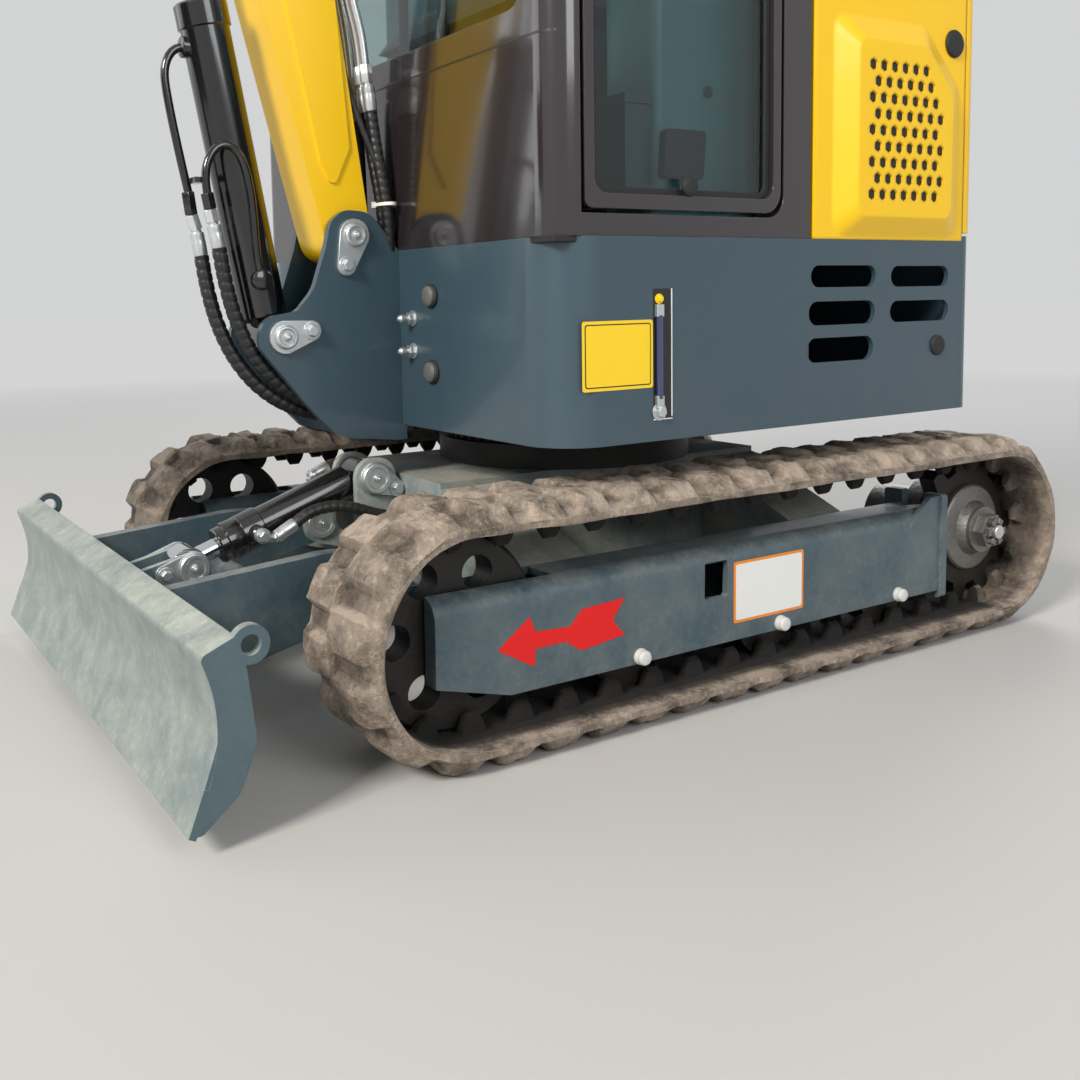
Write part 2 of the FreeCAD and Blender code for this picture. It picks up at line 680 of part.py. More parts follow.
def hexes():
    """Vent holes in nine staggered rows, the upper two shorter where the field is cut off."""
    pitch, rise, r = 23.8, 22.8, 9
    holes = []
    for row in range(9):
        z = 697 + row * rise
        for k in range(7 if row < 7 else 6):
            y = 245 + (k + row % 2 / 2) * pitch
            holes.append(rounded([(y + r * math.cos(math.radians(60 * j + 30)),
                                   z + r * math.sin(math.radians(60 * j + 30))) for j in range(6)]))
    return holes


def engine_cover(side, sign):
    body = new_body("engine_cover_" + side)
    inner = s.skirt_x - s.cover_t
    lo = min(sign * inner, sign * s.skirt_x)
    z0 = s.skirt_top + s.seat_gap
    panel = [(s.cab_low_rear + 1, z0), (s.skirt_rear, z0), (s.skirt_rear, s.cab_step - 0.3, 30),
             (s.cab_low_rear + 1, s.cab_step - 0.3)]
    pad(body, "YZ", lo, "Sizes.cover_t", rounded(panel))
    foot = [(179, 636, 26), (466, 636, 26), (468, 866, 26), (384, 952, 26), (179, 952, 26)]
    top = [(216, 665, 18), (428, 665, 18), (430, 850, 18), (367, 914, 18), (216, 914, 18)]
    raised(body, "YZ", sign * (s.skirt_x - 1), "%d * (Sizes.skirt_x + Sizes.bulge)" % sign, foot, top)
    if sign > 0:
        cut(body, "YZ", inner - 2, "Sizes.cover_t + Sizes.bulge + 4", *hexes())
    else:
        cut(body, "YZ", -s.skirt_x - s.bulge - 2, "Sizes.cover_t + Sizes.bulge + 4",
            *[slot(230, 700 + 34 * k, 420, 716 + 34 * k) for k in range(6)])
    return finish(body)


hood_lugs = (-265, 265)
hood_y = s.skirt_rear - 4
hood_z = s.cab_step + 16


def top_cover():
    body = new_body("top_cover")
    edge = s.skirt_x - s.cover_t - s.seat_gap
    pad(body, "XY", s.cab_step - 20.3, 20, box_of(-edge, s.cab_low_rear + 1, edge, s.skirt_rear, 4))
    for x in hood_lugs:
        for lo in (x - 12 - 10, x + 12):
            pad(body, "YZ", lo, 10, rounded([(hood_y - 10, s.cab_step - 5), (s.skirt_rear, s.cab_step - 5),
                                             (hood_y + 9, hood_z), (hood_y - 9, hood_z)]))
            pad(body, "YZ", lo, 10, ring(hood_y, hood_z, 10))
        pad(body, "YZ", x - 22, 44, ring(hood_y, hood_z, 6))
    return finish(body)


def rear_hood():
    body = new_body("rear_hood")
    shell = [(u, v + 3, *r) for u, v, *r in rear_line()]
    z0 = s.skirt_top + 8 + 5
    pad(body, "XY", z0, s.cab_step - 10 - z0, strip(shell, -s.cover_t))
    for x in hood_lugs:
        strap = [(hood_y - 11, hood_z - 11, 10.9), (hood_y + 10, hood_z - 14), (hood_y + 30, hood_z - 45),
                 (hood_y + 35, hood_z - 75), (hood_y + 50, hood_z - 75), (hood_y + 50, hood_z - 30),
                 (hood_y + 24, hood_z + 11, 10), (hood_y - 11, hood_z + 11, 10.9)]
        pad(body, "YZ", x - 10, 20, rounded(strap))
        cut(body, "YZ", x - 11, 22, ring(hood_y, hood_z, 6 + s.pin_fit))
    return finish(body)


# Cab

def cab_front():
    body = new_body("cab_front")
    x = s.cab_x
    line = [(-x, s.skirt_front + s.cab_round - 4), (-x, s.skirt_front, s.cab_round - 6),
            (x, s.skirt_front, s.cab_round - 6), (x, s.skirt_front + s.cab_round - 4)]
    pad(body, "XY", "Sizes.skirt_top", "Sizes.cab_top - Sizes.skirt_top", strip(line, s.cab_wall))
    cut(body, "XZ", s.skirt_front - 5, "Sizes.cab_wall + 10", front_window(0))
    return finish(body)


def front_window(gap):
    w = s.cab_x - 63 - gap
    return box_of(-w, 915 + gap, w, s.cab_top - 70 - gap, 30)


def rear_window(gap):
    w = s.cab_x - 115 - gap
    return box_of(-w, s.cab_step + 150 + gap, w, s.cab_top - 100 - gap, 40)


def side_outline():
    y0 = s.skirt_front + s.cab_round - 4
    return y0, [(y0, s.skirt_top), (s.cab_low_rear, s.skirt_top), (s.cab_low_rear, s.cab_step),
                (s.cab_rear, s.cab_step), (s.cab_rear, s.cab_top), (y0, s.cab_top)]


def door_line(gap):
    """The door's outline, gap larger all round."""
    return [(-258 - gap, 667 - gap, 12), (82 + gap, 667 - gap, 30), (82 + gap, 1185, 60),
            (360 + gap, 1330, 60), (360 + gap, s.cab_top - 111 + gap, 30), (-258 - gap, s.cab_top - 111 + gap, 12)]


door_hinges = (1440, s.cab_top - 240)
hinge_x = s.cab_x + 11
hinge_y = 372


def cab_side(side, sign):
    body = new_body("cab_" + side)
    inner = s.cab_x - s.cab_wall
    lo = min(sign * inner, sign * s.cab_x)
    y0, outline = side_outline()
    pad(body, "YZ", lo, "Sizes.cab_wall", rounded(outline))
    if sign > 0:
        opening = door_line(s.door_gap)
        opening[0] = (y0 - 5, opening[0][1])
        opening[-1] = (y0 - 5, opening[-1][1])
        cut(body, "YZ", lo - 1, "Sizes.cab_wall + 2", rounded(opening))
        for z in door_hinges:
            hx, hy = hinge_x, hinge_y
            pad(body, "XY", z, 20, rounded([(s.cab_x - 5, hy + 6), (s.cab_x - 5, hy + 28), (s.cab_x + 5, hy + 28),
                                            (hx + 6, hy + 4), (hx + 6, hy), (hx - 6, hy), (s.cab_x + 2, hy + 6)]))
            pad(body, "XY", z, 20, ring(hx, hy, 9))
            pad(body, "XY", z + 19, 36, ring(hx, hy, 5))
    else:
        cut(body, "YZ", lo - 1, "Sizes.cab_wall + 2", rounded(side_window(0)))
    return finish(body)


def side_window(gap):
    return [(-220 + gap, 960 + gap, 40), (90 - gap, 960 + gap, 40), (90 - gap, 1220, 40),
            (400 - gap, 1260, 40), (400 - gap, s.cab_top - 110 - gap, 40), (-220 + gap, s.cab_top - 110 - gap, 40)]


def cab_back():
    body = new_body("cab_back")
    w = s.cab_x - s.cab_wall
    t = 30
    rise = [(s.cab_low_rear - t, s.skirt_top), (s.cab_low_rear, s.skirt_top), (s.cab_low_rear, s.cab_step),
            (s.cab_rear, s.cab_step), (s.cab_rear, s.cab_top), (s.cab_rear - t, s.cab_top),
            (s.cab_rear - t, s.cab_step + t), (s.cab_low_rear - t, s.cab_step + t)]
    pad(body, "YZ", -w, "2 * (Sizes.cab_x - Sizes.cab_wall)", rounded(rise))
    cut(body, "XZ", s.cab_rear - t - 5, t + 10, rear_window(0))
    return finish(body)


def cab_roof():
    body = new_body("cab_roof")
    pad(body, "XY", "Sizes.cab_top", "Sizes.roof_t",
        box_of(-s.cab_x - 6, s.skirt_front - 10, s.cab_x + 6, s.cab_rear + 8, 50))
    return finish(body)


def cab_floor():
    body = new_body("cab_floor")
    w = s.cab_x - s.cab_wall
    pad(body, "XY", "Sizes.skirt_top", 15,
        box_of(-w, s.skirt_front + s.cab_round - 4 + s.seat_gap, w, s.cab_low_rear - 30))
    return finish(body)


def cab_glass():
    """Front, right and rear panes, each in its opening."""
    body = new_body("cab_glass")
    g = s.seat_gap
    pad(body, "XZ", s.skirt_front + 16, "Sizes.glass_t", front_window(g))
    pad(body, "YZ", -s.cab_x + 14, "Sizes.glass_t", rounded(side_window(g)))
    pad(body, "XZ", s.cab_rear - 18, "Sizes.glass_t", rear_window(g))
    return finish(body)


def door_window(gap):
    return [(-243 + gap, 686 + gap, 20), (68 - gap, 686 + gap, 20), (68 - gap, 1195, 50),
            (335 - gap, 1345, 50), (335 - gap, s.cab_top - 136 - gap, 30), (-243 + gap, s.cab_top - 136 - gap, 20)]


def door():
    body = new_body("door_frame")
    pad(body, "YZ", s.cab_x - s.door_t, "Sizes.door_t", rounded(door_line(0)))
    cut(body, "YZ", s.cab_x - s.door_t - 1, "Sizes.door_t + 2", rounded(door_window(0)))
    for z in door_hinges:
        hx, hy = hinge_x, hinge_y
        z0 = z + 20 + s.seat_gap
        pad(body, "XY", z0, 32, rounded([(s.cab_x - 5, hy - 32), (s.cab_x + 7, hy - 32), (hx + 6, hy - 7), (hx + 6, hy),
                                         (hx - 6, hy), (s.cab_x + 1.5, hy - 10), (s.cab_x + 1.5, hy - 14),
                                         (s.cab_x - 5, hy - 14)]))
        pad(body, "XY", z0, 32, ring(hx, hy, 9))
        cut(body, "XY", z0 - 1, 34, ring(hx, hy, 5 + s.pin_fit))
    finish(body)
    pane = new_body("door_glass")
    pad(pane, "YZ", s.cab_x - 18, "Sizes.glass_t", rounded(door_window(s.seat_gap)))
    finish(pane)


def seat():
    base = new_body("seat_box")
    z = s.skirt_top + 15
    pad(base, "XY", z, 300, box_of(-230, -110, 230, s.cab_low_rear - 31, 10))
    finish(base)
    soft = new_body("seat")
    pad(soft, "XY", z + 300.3, 90, box_of(-220, -190, 220, 105, 50))
    back = [(20, z + 380), (100, z + 380), (106, z + 560, 60), (180, z + 880, 30), (100, z + 880, 30), (30, z + 560, 60)]
    pad(soft, "YZ", -210, 420, rounded(back))
    finish(soft)


def consoles():
    for side, sign in both_sides():
        body = new_body("console_" + side)
        lo = 270 if sign > 0 else -380
        z = s.skirt_top + 15
        pad(body, "XY", z, 480, box_of(lo, -80, lo + 110, s.cab_low_rear - 31, 14))
        pad(body, "XY", z + 479, 120, ring(lo + 55, -50, 8))
        pad(body, "XY", z + 560, 90, ring(lo + 55, -50, 20))
        finish(body)


def travel_levers():
    body = new_body("travel_levers")
    for x in (-60, 60):
        pad(body, "XY", s.skirt_top + 15, 620, ring(x, -215, 8))
        pad(body, "XY", s.skirt_top + 515, 130, ring(x, -215, 15))
    return finish(body)


# Boom, arm and bucket

foot = (s.foot_y, s.foot_z)
bend = polar(*foot, s.boom_low_len, s.boom_low_lean)
tip = polar(*bend, s.boom_top_len, s.boom_top_lean)


def along(point, lean, ahead, front):
    """A point moved ahead along a leaning line and front to its front side."""
    a = math.radians(lean)
    return (point[0] - ahead * math.sin(a) - front * math.cos(a),
            point[1] + ahead * math.cos(a) - front * math.sin(a))


arm_ram_base = along(bend, s.boom_top_lean, 95, -130)
boom_eye = (s.boom_eye_y, s.boom_eye_z)


def boom():
    body = new_body("boom")
    low, top = s.boom_low_lean, s.boom_top_lean
    mid = (low + top) / 2
    deep = s.boom_mid_deep / 2 / math.cos(math.radians((top - low) / 2))
    r, q = s.foot_r, s.boom_tip_r
    line = [(*along(foot, low, -r, r), r - 0.1), (*along(bend, mid, 0, deep), 150),
            (*along(tip, top, q, q), q - 0.1), (*along(tip, top, q, -q), q - 0.1),
            (*along(bend, mid, 0, -deep), 220), (*along(foot, low, -r, -r), r - 0.1)]
    pad(body, "YZ", "-Sizes.boom_w / 2", "Sizes.boom_w", rounded(line))
    # Raised field on each side, which ends in a point over the foot
    field = [along(foot, low, *p) for p in ((68, 10), (112, 21), (s.boom_low_len - 60, 26), (s.boom_low_len - 60, -66),
                                            (330, -54), (124, -30))]
    pad(body, "YZ", -s.boom_w / 2 - 3, s.boom_w + 6, rounded([(*p, 8) for p in field]))
    slot_len = 125
    fork = [along(tip, top, -slot_len, 70), along(tip, top, q + 10, 70),
            along(tip, top, q + 10, -70), along(tip, top, -slot_len, -70)]
    cut(body, "YZ", -s.arm_w / 2 - 5, "Sizes.arm_w + 10", rounded(fork))
    # Ears for the boom cylinder's rod, on the front
    near = along(foot, low, 560, 60)
    far = along(foot, low, 700, 60)
    ears = [near, (boom_eye[0] - 28, boom_eye[1] - 28, 27.9), (boom_eye[0] - 28, boom_eye[1] + 28, 27.9), far,
            along(foot, low, 700, 30), along(foot, low, 560, 30)]
    for lo in (22, -34):
        pad(body, "YZ", lo, 12, rounded(ears))
    # Ears for the arm cylinder's base, on the back
    g = arm_ram_base
    back = [along(bend, top, 20, -60), along(bend, top, 20, -90), along(bend, top, 95 - 28, -158),
            along(bend, top, 95 + 28, -158), along(bend, top, 190, -60), along(bend, top, 190, -40),
            along(bend, top, 20, -40)]
    back = [(*p, 27) if i in (2, 3) else p for i, p in enumerate(back)]
    gap = s.arm_ram_r + 3
    for lo in (gap, -gap - 10):
        pad(body, "YZ", lo, 10, rounded(back))
        cut(body, "YZ", lo - 0.5, 11, ring(*g, s.pin_r))
    cut(body, "YZ", -s.boom_w / 2 - 1, s.boom_w + 2, ring(*foot, s.pin_r + s.pin_fit))
    cut(body, "YZ", -s.boom_w / 2 - 1, s.boom_w + 2, ring(*tip, s.pin_r))
    return finish(body)


def arm_point(y, z):
    """A point of the hanging arm, y to the rear and z up from its upper pin."""
    a = math.radians(s.arm_lean)
    return (tip[0] + y * math.cos(a) + z * math.sin(a), tip[1] - y * math.sin(a) + z * math.cos(a))


rocker_pin = (-s.rocker_w, s.rocker_up - s.arm_len)
bucket_pin = (0, -s.arm_len)
bucket_ram_base = (-115, -180)


def hitch_pin():
    """The bucket's second pin in the arm's frame."""
    a = math.radians(s.bucket_curl)
    return (bucket_pin[0] - s.hitch_len * math.sin(a), bucket_pin[1] - s.hitch_len * math.cos(a))


def knee():
    """The pin that joins rocker, link and rod: where their circles meet, out front."""
    hy, hz = hitch_pin()
    ry, rz = rocker_pin
    d = math.hypot(hy - ry, hz - rz)
    a = (s.rocker_len ** 2 - s.link_len ** 2 + d * d) / (2 * d)
    rise = math.sqrt(s.rocker_len ** 2 - a * a)
    uy, uz = (hy - ry) / d, (hz - rz) / d
    one = (ry + a * uy + rise * uz, rz + a * uz - rise * uy)
    two = (ry + a * uy - rise * uz, rz + a * uz + rise * uy)
    return min(one, two)


knee_pin = knee()


def arm():
    body = new_body("arm")
    ty, tz = s.arm_tail_y, s.arm_tail_z
    end = s.arm_len
    line = [(ty - 26, tz + 26, 25.9), (ty + 26, tz + 26, 25.9), (46, 30, 40), (56, -150, 80), (34, -end + 120, 60),
            (32, -end - 32, 31.9), (-32, -end - 32, 31.9), (-40, -end + 120, 60), (-62, -220, 80), (-64, -10, 50)]
    pad(body, "YZ", "-Sizes.arm_w / 2", "Sizes.arm_w", rounded(line))
    # Fork for the arm cylinder's rod
    cut(body, "YZ", -22, 44, rounded([(ty - 40, tz - 38), (ty + 60, tz - 38), (ty + 60, tz + 40), (ty - 40, tz + 40)]))
    ky, kz = bucket_ram_base
    ears = [(-50, kz + 60), (ky - 24, kz + 24, 23.9), (ky - 24, kz - 24, 23.9), (-50, kz - 70), (-30, kz - 70),
            (-30, kz + 60)]
    gap = s.bucket_ram_r + 3
    for lo in (gap, -gap - 8):
        pad(body, "YZ", lo, 8, rounded(ears))
        cut(body, "YZ", lo - 0.5, 9, ring(ky, kz, s.small_pin_r))
    cut(body, "YZ", -s.arm_w / 2 - 1, s.arm_w + 2, ring(0, 0, s.pin_r + s.pin_fit),
        ring(*rocker_pin, s.small_pin_r), ring(*bucket_pin, s.pin_r))
    return finish(body, tip[0], tip[1], -s.arm_lean)


def rocker():
    """Two plates and the pin stubs at the knee."""
    body = new_body("rocker")
    ry, rz = rocker_pin
    ky, kz = knee_pin
    length = math.hypot(ky - ry, kz - rz)
    lean = math.degrees(math.atan2(ry - ky, kz - rz))
    for lo in (s.arm_w / 2 + 3, -s.arm_w / 2 - 11):
        pad(body, "YZ", lo, 8, rounded([(-22, -22, 21.5), (22, -22, 21.5), (20, length + 20, 19.5),
                                        (-20, length + 20, 19.5)]))
        cut(body, "YZ", lo - 0.5, 9, ring(0, 0, s.small_pin_r + s.pin_fit))
    for lo in (20, -s.arm_w / 2 - 14):
        pad(body, "YZ", lo, s.arm_w / 2 + 14 - 20, ring(0, length, s.small_pin_r))
    finish(body)
    y, z = arm_point(*rocker_pin)
    body.Placement = Placement(Vector(0, y, z), Rotation(Vector(1, 0, 0), lean - s.arm_lean))
    return body


def bucket_link():
    body = new_body("bucket_link")
    ky, kz = knee_pin
    hy, hz = hitch_pin()
    length = math.hypot(hy - ky, hz - kz)
    lean = math.degrees(math.atan2(ky - hy, hz - kz))
    for lo in (20.5, -28.5):
        pad(body, "YZ", lo, 8, rounded([(-22, -22, 21.9), (22, -22, 21.9), (22, length + 22, 21.9),
                                        (-22, length + 22, 21.9)]))
        cut(body, "YZ", lo - 0.5, 9, ring(0, 0, s.small_pin_r + s.pin_fit), ring(0, length, s.small_pin_r))
    pad(body, "YZ", -21, 42, box_of(-8, length * 0.45, 8, length * 0.7))
    finish(body)
    y, z = arm_point(ky, kz)
    body.Placement = Placement(Vector(0, y, z), Rotation(Vector(1, 0, 0), lean - s.arm_lean))
    return body


hitch_angle = 102        # between the bucket's tip and its second pin, seen from its first pin


def bucket():
    body = new_body("bucket")
    half = s.bucket_w / 2
    bowl = [(-28, -60), (-150, -70, 90), (-212, -330, 150), (22, -440)]
    pad(body, "YZ", -half, "Sizes.bucket_w", strip(bowl, s.bucket_t))
    cheek = bowl + [(58, -250, 120), (10, -70)]
    for lo in (-half, half - s.bucket_t):
        pad(body, "YZ", lo, "Sizes.bucket_t", rounded(cheek))
    hy = -s.hitch_len * math.sin(math.radians(hitch_angle))
    hz = -s.hitch_len * math.cos(math.radians(hitch_angle))
    ear = [(30, 30, 29.9), (hy - 26, hz + 26, 25.9), (-150, -74), (-20, -64), (30, -30, 29.9)]
    for lo in (s.arm_w / 2 + 6, -s.arm_w / 2 - 18):
        pad(body, "YZ", lo, 12, rounded(ear))
        cut(body, "YZ", lo - 0.5, 13, ring(0, 0, s.pin_r + s.pin_fit))
    for lo in (30, -s.arm_w / 2 - 22):
        pad(body, "YZ", lo, s.arm_w / 2 + 22 - 30, ring(hy, hz, s.small_pin_r))
    for k in range(4):
        x = -half + 20 + k * (s.bucket_w - 80) / 3
        pad(body, "YZ", x, 40, rounded([(-40, -418), (10, -440), (46, -478), (52, -474), (30, -424)]))
    finish(body)
    y, z = arm_point(*bucket_pin)
    turn = hitch_angle - s.bucket_curl
    body.Placement = Placement(Vector(0, y, z), Rotation(Vector(1, 0, 0), turn - s.arm_lean))
    return body


def pins(label, *rods):
    """Pins along X: each (y, z, half length, radius)."""
    body = new_body(label)
    for y, z, half, r in rods:
        pad(body, "YZ", -half, 2 * half, ring(y, z, r))
    return finish(body)


def push_pins():
    body = new_body("push_pins")
    for sign in (1, -1):
        reach_x = s.push_t / 2 + s.ear_t + 5
        pad(body, "YZ", sign * s.push_x - reach_x, 2 * reach_x, ring(s.push_y, s.push_z, s.blade_pin_r))
    half = s.blade_ram_r + 3 + s.ear_t + 5
    pad(body, "YZ", -half, 2 * half, ring(s.base_y, s.base_z, s.blade_pin_r))
    return finish(body)


for side, sign in both_sides():
    belt(side, sign)
    track_frame(side, sign)
    rollers(side, sign)
    idler(side, sign)
    sprocket(side, sign)
    motor(side, sign)
car_body()
frame_legs()
slew_seat()
slew_ring()
push_pins()
moldboard()
push_arms()
ram("blade", (s.base_y, s.base_z), (s.eye_y, s.eye_z), 215, 130, s.blade_ram_r, 14, 25, 40, s.blade_pin_r)
slew_race()
platform()
bracket()
for side, sign in both_sides():
    skirt(side, sign)
counterweight()
engine()
for side, sign in both_sides():
    engine_cover(side, sign)
top_cover()
rear_hood()
cab_front()
for side, sign in both_sides():
    cab_side(side, sign)
cab_back()
cab_roof()
cab_floor()
cab_glass()
door()
seat()
consoles()
travel_levers()
pins("bracket_pins", (s.foot_y, s.foot_z, s.bracket_x + 6, s.pin_r), (s.ram_y, s.ram_z, s.bracket_x + 6, s.pin_r))
boom()
ram("boom", (s.ram_y, s.ram_z), boom_eye, 474, 400, s.boom_ram_r, 17, 28, 40, s.pin_r)
pins("boom_pins", (*tip, s.boom_w / 2 + 8, s.pin_r), (*arm_ram_base, s.arm_ram_r + 18, s.pin_r))
arm()
ram("arm", arm_ram_base, arm_point(s.arm_tail_y, s.arm_tail_z), 370, 240, s.arm_ram_r, 15, 24, 40, s.pin_r)
rocker()
bucket_link()
bucket()
ram("bucket", arm_point(*bucket_ram_base), arm_point(*knee_pin), 500, 400, s.bucket_ram_r, 14, 21, 36, s.small_pin_r)
pins("arm_pins", (*arm_point(*bucket_ram_base), s.bucket_ram_r + 16, s.small_pin_r),
     (*arm_point(*rocker_pin), s.arm_w / 2 + 14, s.small_pin_r),
     (*arm_point(*bucket_pin), s.arm_w / 2 + 24, s.pin_r))

# Every object is sound, and the origin comes under the middle of the whole

doc.recompute()
for obj in doc.Objects:
    if "Invalid" in obj.State or "Error" in obj.State:
        raise ValueError("%s failed: %s" % (obj.Label, obj.State))
lengths = [obj.Shape.BoundBox for obj in parts]
y_shift = -(min(b.YMin for b in lengths) + max(b.YMax for b in lengths)) / 2
for obj in parts:
    place = obj.Placement
    obj.Placement = Placement(place.Base + Vector(0, y_shift, 0), place.Rotation)
doc.recompute()

os.makedirs("parts", exist_ok=True)
for obj in parts:
    if obj.Shape.isNull() or not obj.Shape.isValid():
        raise ValueError("%s has no sound shape" % obj.Label)
    obj.Shape.exportStep("parts/%s.step" % obj.Label)
print("sub-parts:", len(parts), "y shift: %.3f" % y_shift)
print("bend %.2f %.2f tip %.2f %.2f" % (*bend, *tip), "knee", knee_pin, "hitch", hitch_pin())
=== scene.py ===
import math

import bmesh
import bpy
from mathutils import Matrix, Vector
from mathutils.noise import noise


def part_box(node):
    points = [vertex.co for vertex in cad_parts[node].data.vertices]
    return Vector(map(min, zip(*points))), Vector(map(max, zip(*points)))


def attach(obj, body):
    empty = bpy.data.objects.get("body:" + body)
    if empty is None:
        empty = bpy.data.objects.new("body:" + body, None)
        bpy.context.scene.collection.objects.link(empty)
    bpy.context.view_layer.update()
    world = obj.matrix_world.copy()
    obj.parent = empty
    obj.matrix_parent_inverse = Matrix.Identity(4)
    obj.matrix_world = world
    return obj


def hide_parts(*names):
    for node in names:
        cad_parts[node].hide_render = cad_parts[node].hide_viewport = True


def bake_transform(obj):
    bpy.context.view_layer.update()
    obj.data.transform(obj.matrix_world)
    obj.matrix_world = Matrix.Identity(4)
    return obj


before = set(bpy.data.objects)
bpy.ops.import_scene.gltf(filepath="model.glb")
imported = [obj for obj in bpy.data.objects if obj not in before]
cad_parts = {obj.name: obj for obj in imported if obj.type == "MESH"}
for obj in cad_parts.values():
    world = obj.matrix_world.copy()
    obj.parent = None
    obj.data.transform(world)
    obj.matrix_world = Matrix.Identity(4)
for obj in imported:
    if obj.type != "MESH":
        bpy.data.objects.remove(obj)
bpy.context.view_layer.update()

# Mini excavator. Places are written in the source's own millimetres: X to the machine's
# left, -Y to the front, Z up, with Y counted from the middle of the tracks. The function
# at() turns them into the frame's metres.

SLEW_Y = 45
low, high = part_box("slew_ring")
Y_SHIFT = (low[1] + high[1]) / 2 * 1000 - SLEW_Y

X, Y, Z = Vector((1, 0, 0)), Vector((0, 1, 0)), Vector((0, 0, 1))
SIDES = ("left", "right")


def at(x, y, z):
    """A point of the machine in millimetres, in the frame's metres."""
    return Vector((x / 1000, (y + Y_SHIFT) / 1000, z / 1000))


def forward(y, z, length, lean):
    """The (y, z) at a length from a point, leaning forward from plumb by lean degrees."""
    a = math.radians(lean)
    return y - length * math.sin(a), z + length * math.cos(a)


def beside(point, lean, ahead, front):
    """A (y, z) moved ahead along a leaning line and front to its front side."""
    a = math.radians(lean)
    return (point[0] - ahead * math.sin(a) - front * math.cos(a),
            point[1] + ahead * math.cos(a) - front * math.sin(a))


# Main places of the source, (y, z) in millimetres

FOOT = (-380, 655)                   # boom foot pin
BOOM_RAM = (-493, 510)               # base pin of the boom cylinder
LOW_LEAN, TOP_LEAN = 11.1, 50.5      # lean of the boom's two lengths
BEND = forward(*FOOT, 729, LOW_LEAN)
TIP = forward(*BEND, 661, TOP_LEAN)
ARM_LEAN = 35
BLADE_RAM = (-347, 291)              # base pin of the blade cylinder
BLADE_EYE = (-631, 191)              # its rod pin
PUSH_PIN = (-345, 188)
ARM_RAM = beside(BEND, TOP_LEAN, 95, -130)
ARM_EYE = (-946, 1963.7)             # rod pin of the arm cylinder


def arm_point(y, z):
    """A point of the hanging arm, y to the rear and z up from its upper pin."""
    a = math.radians(ARM_LEAN)
    return TIP[0] + y * math.cos(a) + z * math.sin(a), TIP[1] - y * math.sin(a) + z * math.cos(a)


BUCKET_RAM = arm_point(-115, -180)   # base pin of the bucket cylinder
KNEE = (-1642.3, 1127.4)             # its rod pin


# Camera: at the photograph's place, with its lens shift

CAMERA_PLACE = (1536.7, -1107.5, 558.1)
CAMERA_YAW, CAMERA_PITCH, CAMERA_ROLL = 58.43, -5.45, -1.18
SENSOR = 36                          # the sensor's width
FOCAL = 1107.2 / 1080                # focal length over the picture's width
SHIFT_X, SHIFT_Y = 0.074, -0.1247


def new_object(name, data):
    """An object with this data, put into the scene."""
    obj = bpy.data.objects.new(name, data)
    bpy.context.scene.collection.objects.link(obj)
    return obj


def camera():
    """The photograph's camera, as far as it could be solved."""
    yaw, pitch, roll = (math.radians(v) for v in (CAMERA_YAW, CAMERA_PITCH, CAMERA_ROLL))
    level = Vector((-math.sin(yaw), math.cos(yaw), 0))
    ahead = level * math.cos(pitch) + Z * math.sin(pitch)
    right = Vector((math.cos(yaw), math.sin(yaw), 0))
    up = right.cross(ahead)
    turned_right = right * math.cos(roll) + up * math.sin(roll)
    turned_up = up * math.cos(roll) - right * math.sin(roll)
    lens = bpy.data.cameras.new("camera")
    lens.sensor_width = SENSOR
    lens.lens = FOCAL * SENSOR
    lens.shift_x, lens.shift_y = SHIFT_X, SHIFT_Y
    lens.clip_end = 200
    obj = new_object("camera", lens)
    turn = Matrix((turned_right, turned_up, -ahead)).transposed().to_4x4()
    obj.matrix_world = Matrix.Translation(at(*CAMERA_PLACE)) @ turn
    bpy.context.scene.camera = obj


camera()


# Shader node groups

def srgb(r, g, b):
    """A colour written as 0-255 screen values, as Blender's linear colour."""
    linear = [((c / 255 + 0.055) / 1.055) ** 2.4 if c > 10 else c / 255 / 12.92 for c in (r, g, b)]
    return (*linear, 1)


class Tree:
    """A node tree that is filled by short calls."""

    def __init__(self, tree):
        self.tree = tree

    def feed(self, node, inputs):
        """Link a socket to each named input of a node, or set it to a value."""
        for name, value in inputs.items():
            if isinstance(value, bpy.types.NodeSocket):
                self.tree.links.new(value, node.inputs[name])
            else:
                node.inputs[name].default_value = value

    def add(self, kind, inputs=None, **settings):
        """A new node with its settings and inputs."""
        node = self.tree.nodes.new(kind)
        for name, value in settings.items():
            setattr(node, name, value)
        self.feed(node, inputs or {})
        return node

    def math(self, operation, a, b=0.0, clamp=False):
        """The result of one operation on two values."""
        return self.add("ShaderNodeMath", {0: a, 1: b}, operation=operation, use_clamp=clamp).outputs[0]

    def mix(self, factor, a, b, blend="MIX"):
        """Colour a turned to colour b by a factor."""
        colours = {0: factor, 6: a, 7: b}
        return self.add("ShaderNodeMix", colours, data_type="RGBA", blend_type=blend).outputs[2]

    def span(self, value, low, high, to_low=0.0, to_high=1.0):
        """A value moved from one range to another, and held within it."""
        return self.add("ShaderNodeMapRange", {0: value, 1: low, 2: high, 3: to_low, 4: to_high}).outputs[0]

    def noise(self, scale, detail, rough, place):
        """Cloudy noise from 0 to 1 at a place."""
        inputs = {"Scale": scale, "Detail": detail, "Roughness": rough, "Vector": place}
        return self.add("ShaderNodeTexNoise", inputs).outputs[0]

    def place(self):
        """Where a point lies on its object."""
        return self.add("ShaderNodeTexCoord").outputs["Object"]

    def normal(self):
        """The way a face looks."""
        return self.add("ShaderNodeNewGeometry").outputs["Normal"]


COLOUR, FLOAT, VECTOR = "NodeSocketColor", "NodeSocketFloat", "NodeSocketVector"
GREY = (0.5, 0.5, 0.5, 1)
DUST_COLOUR = (168, 156, 140)


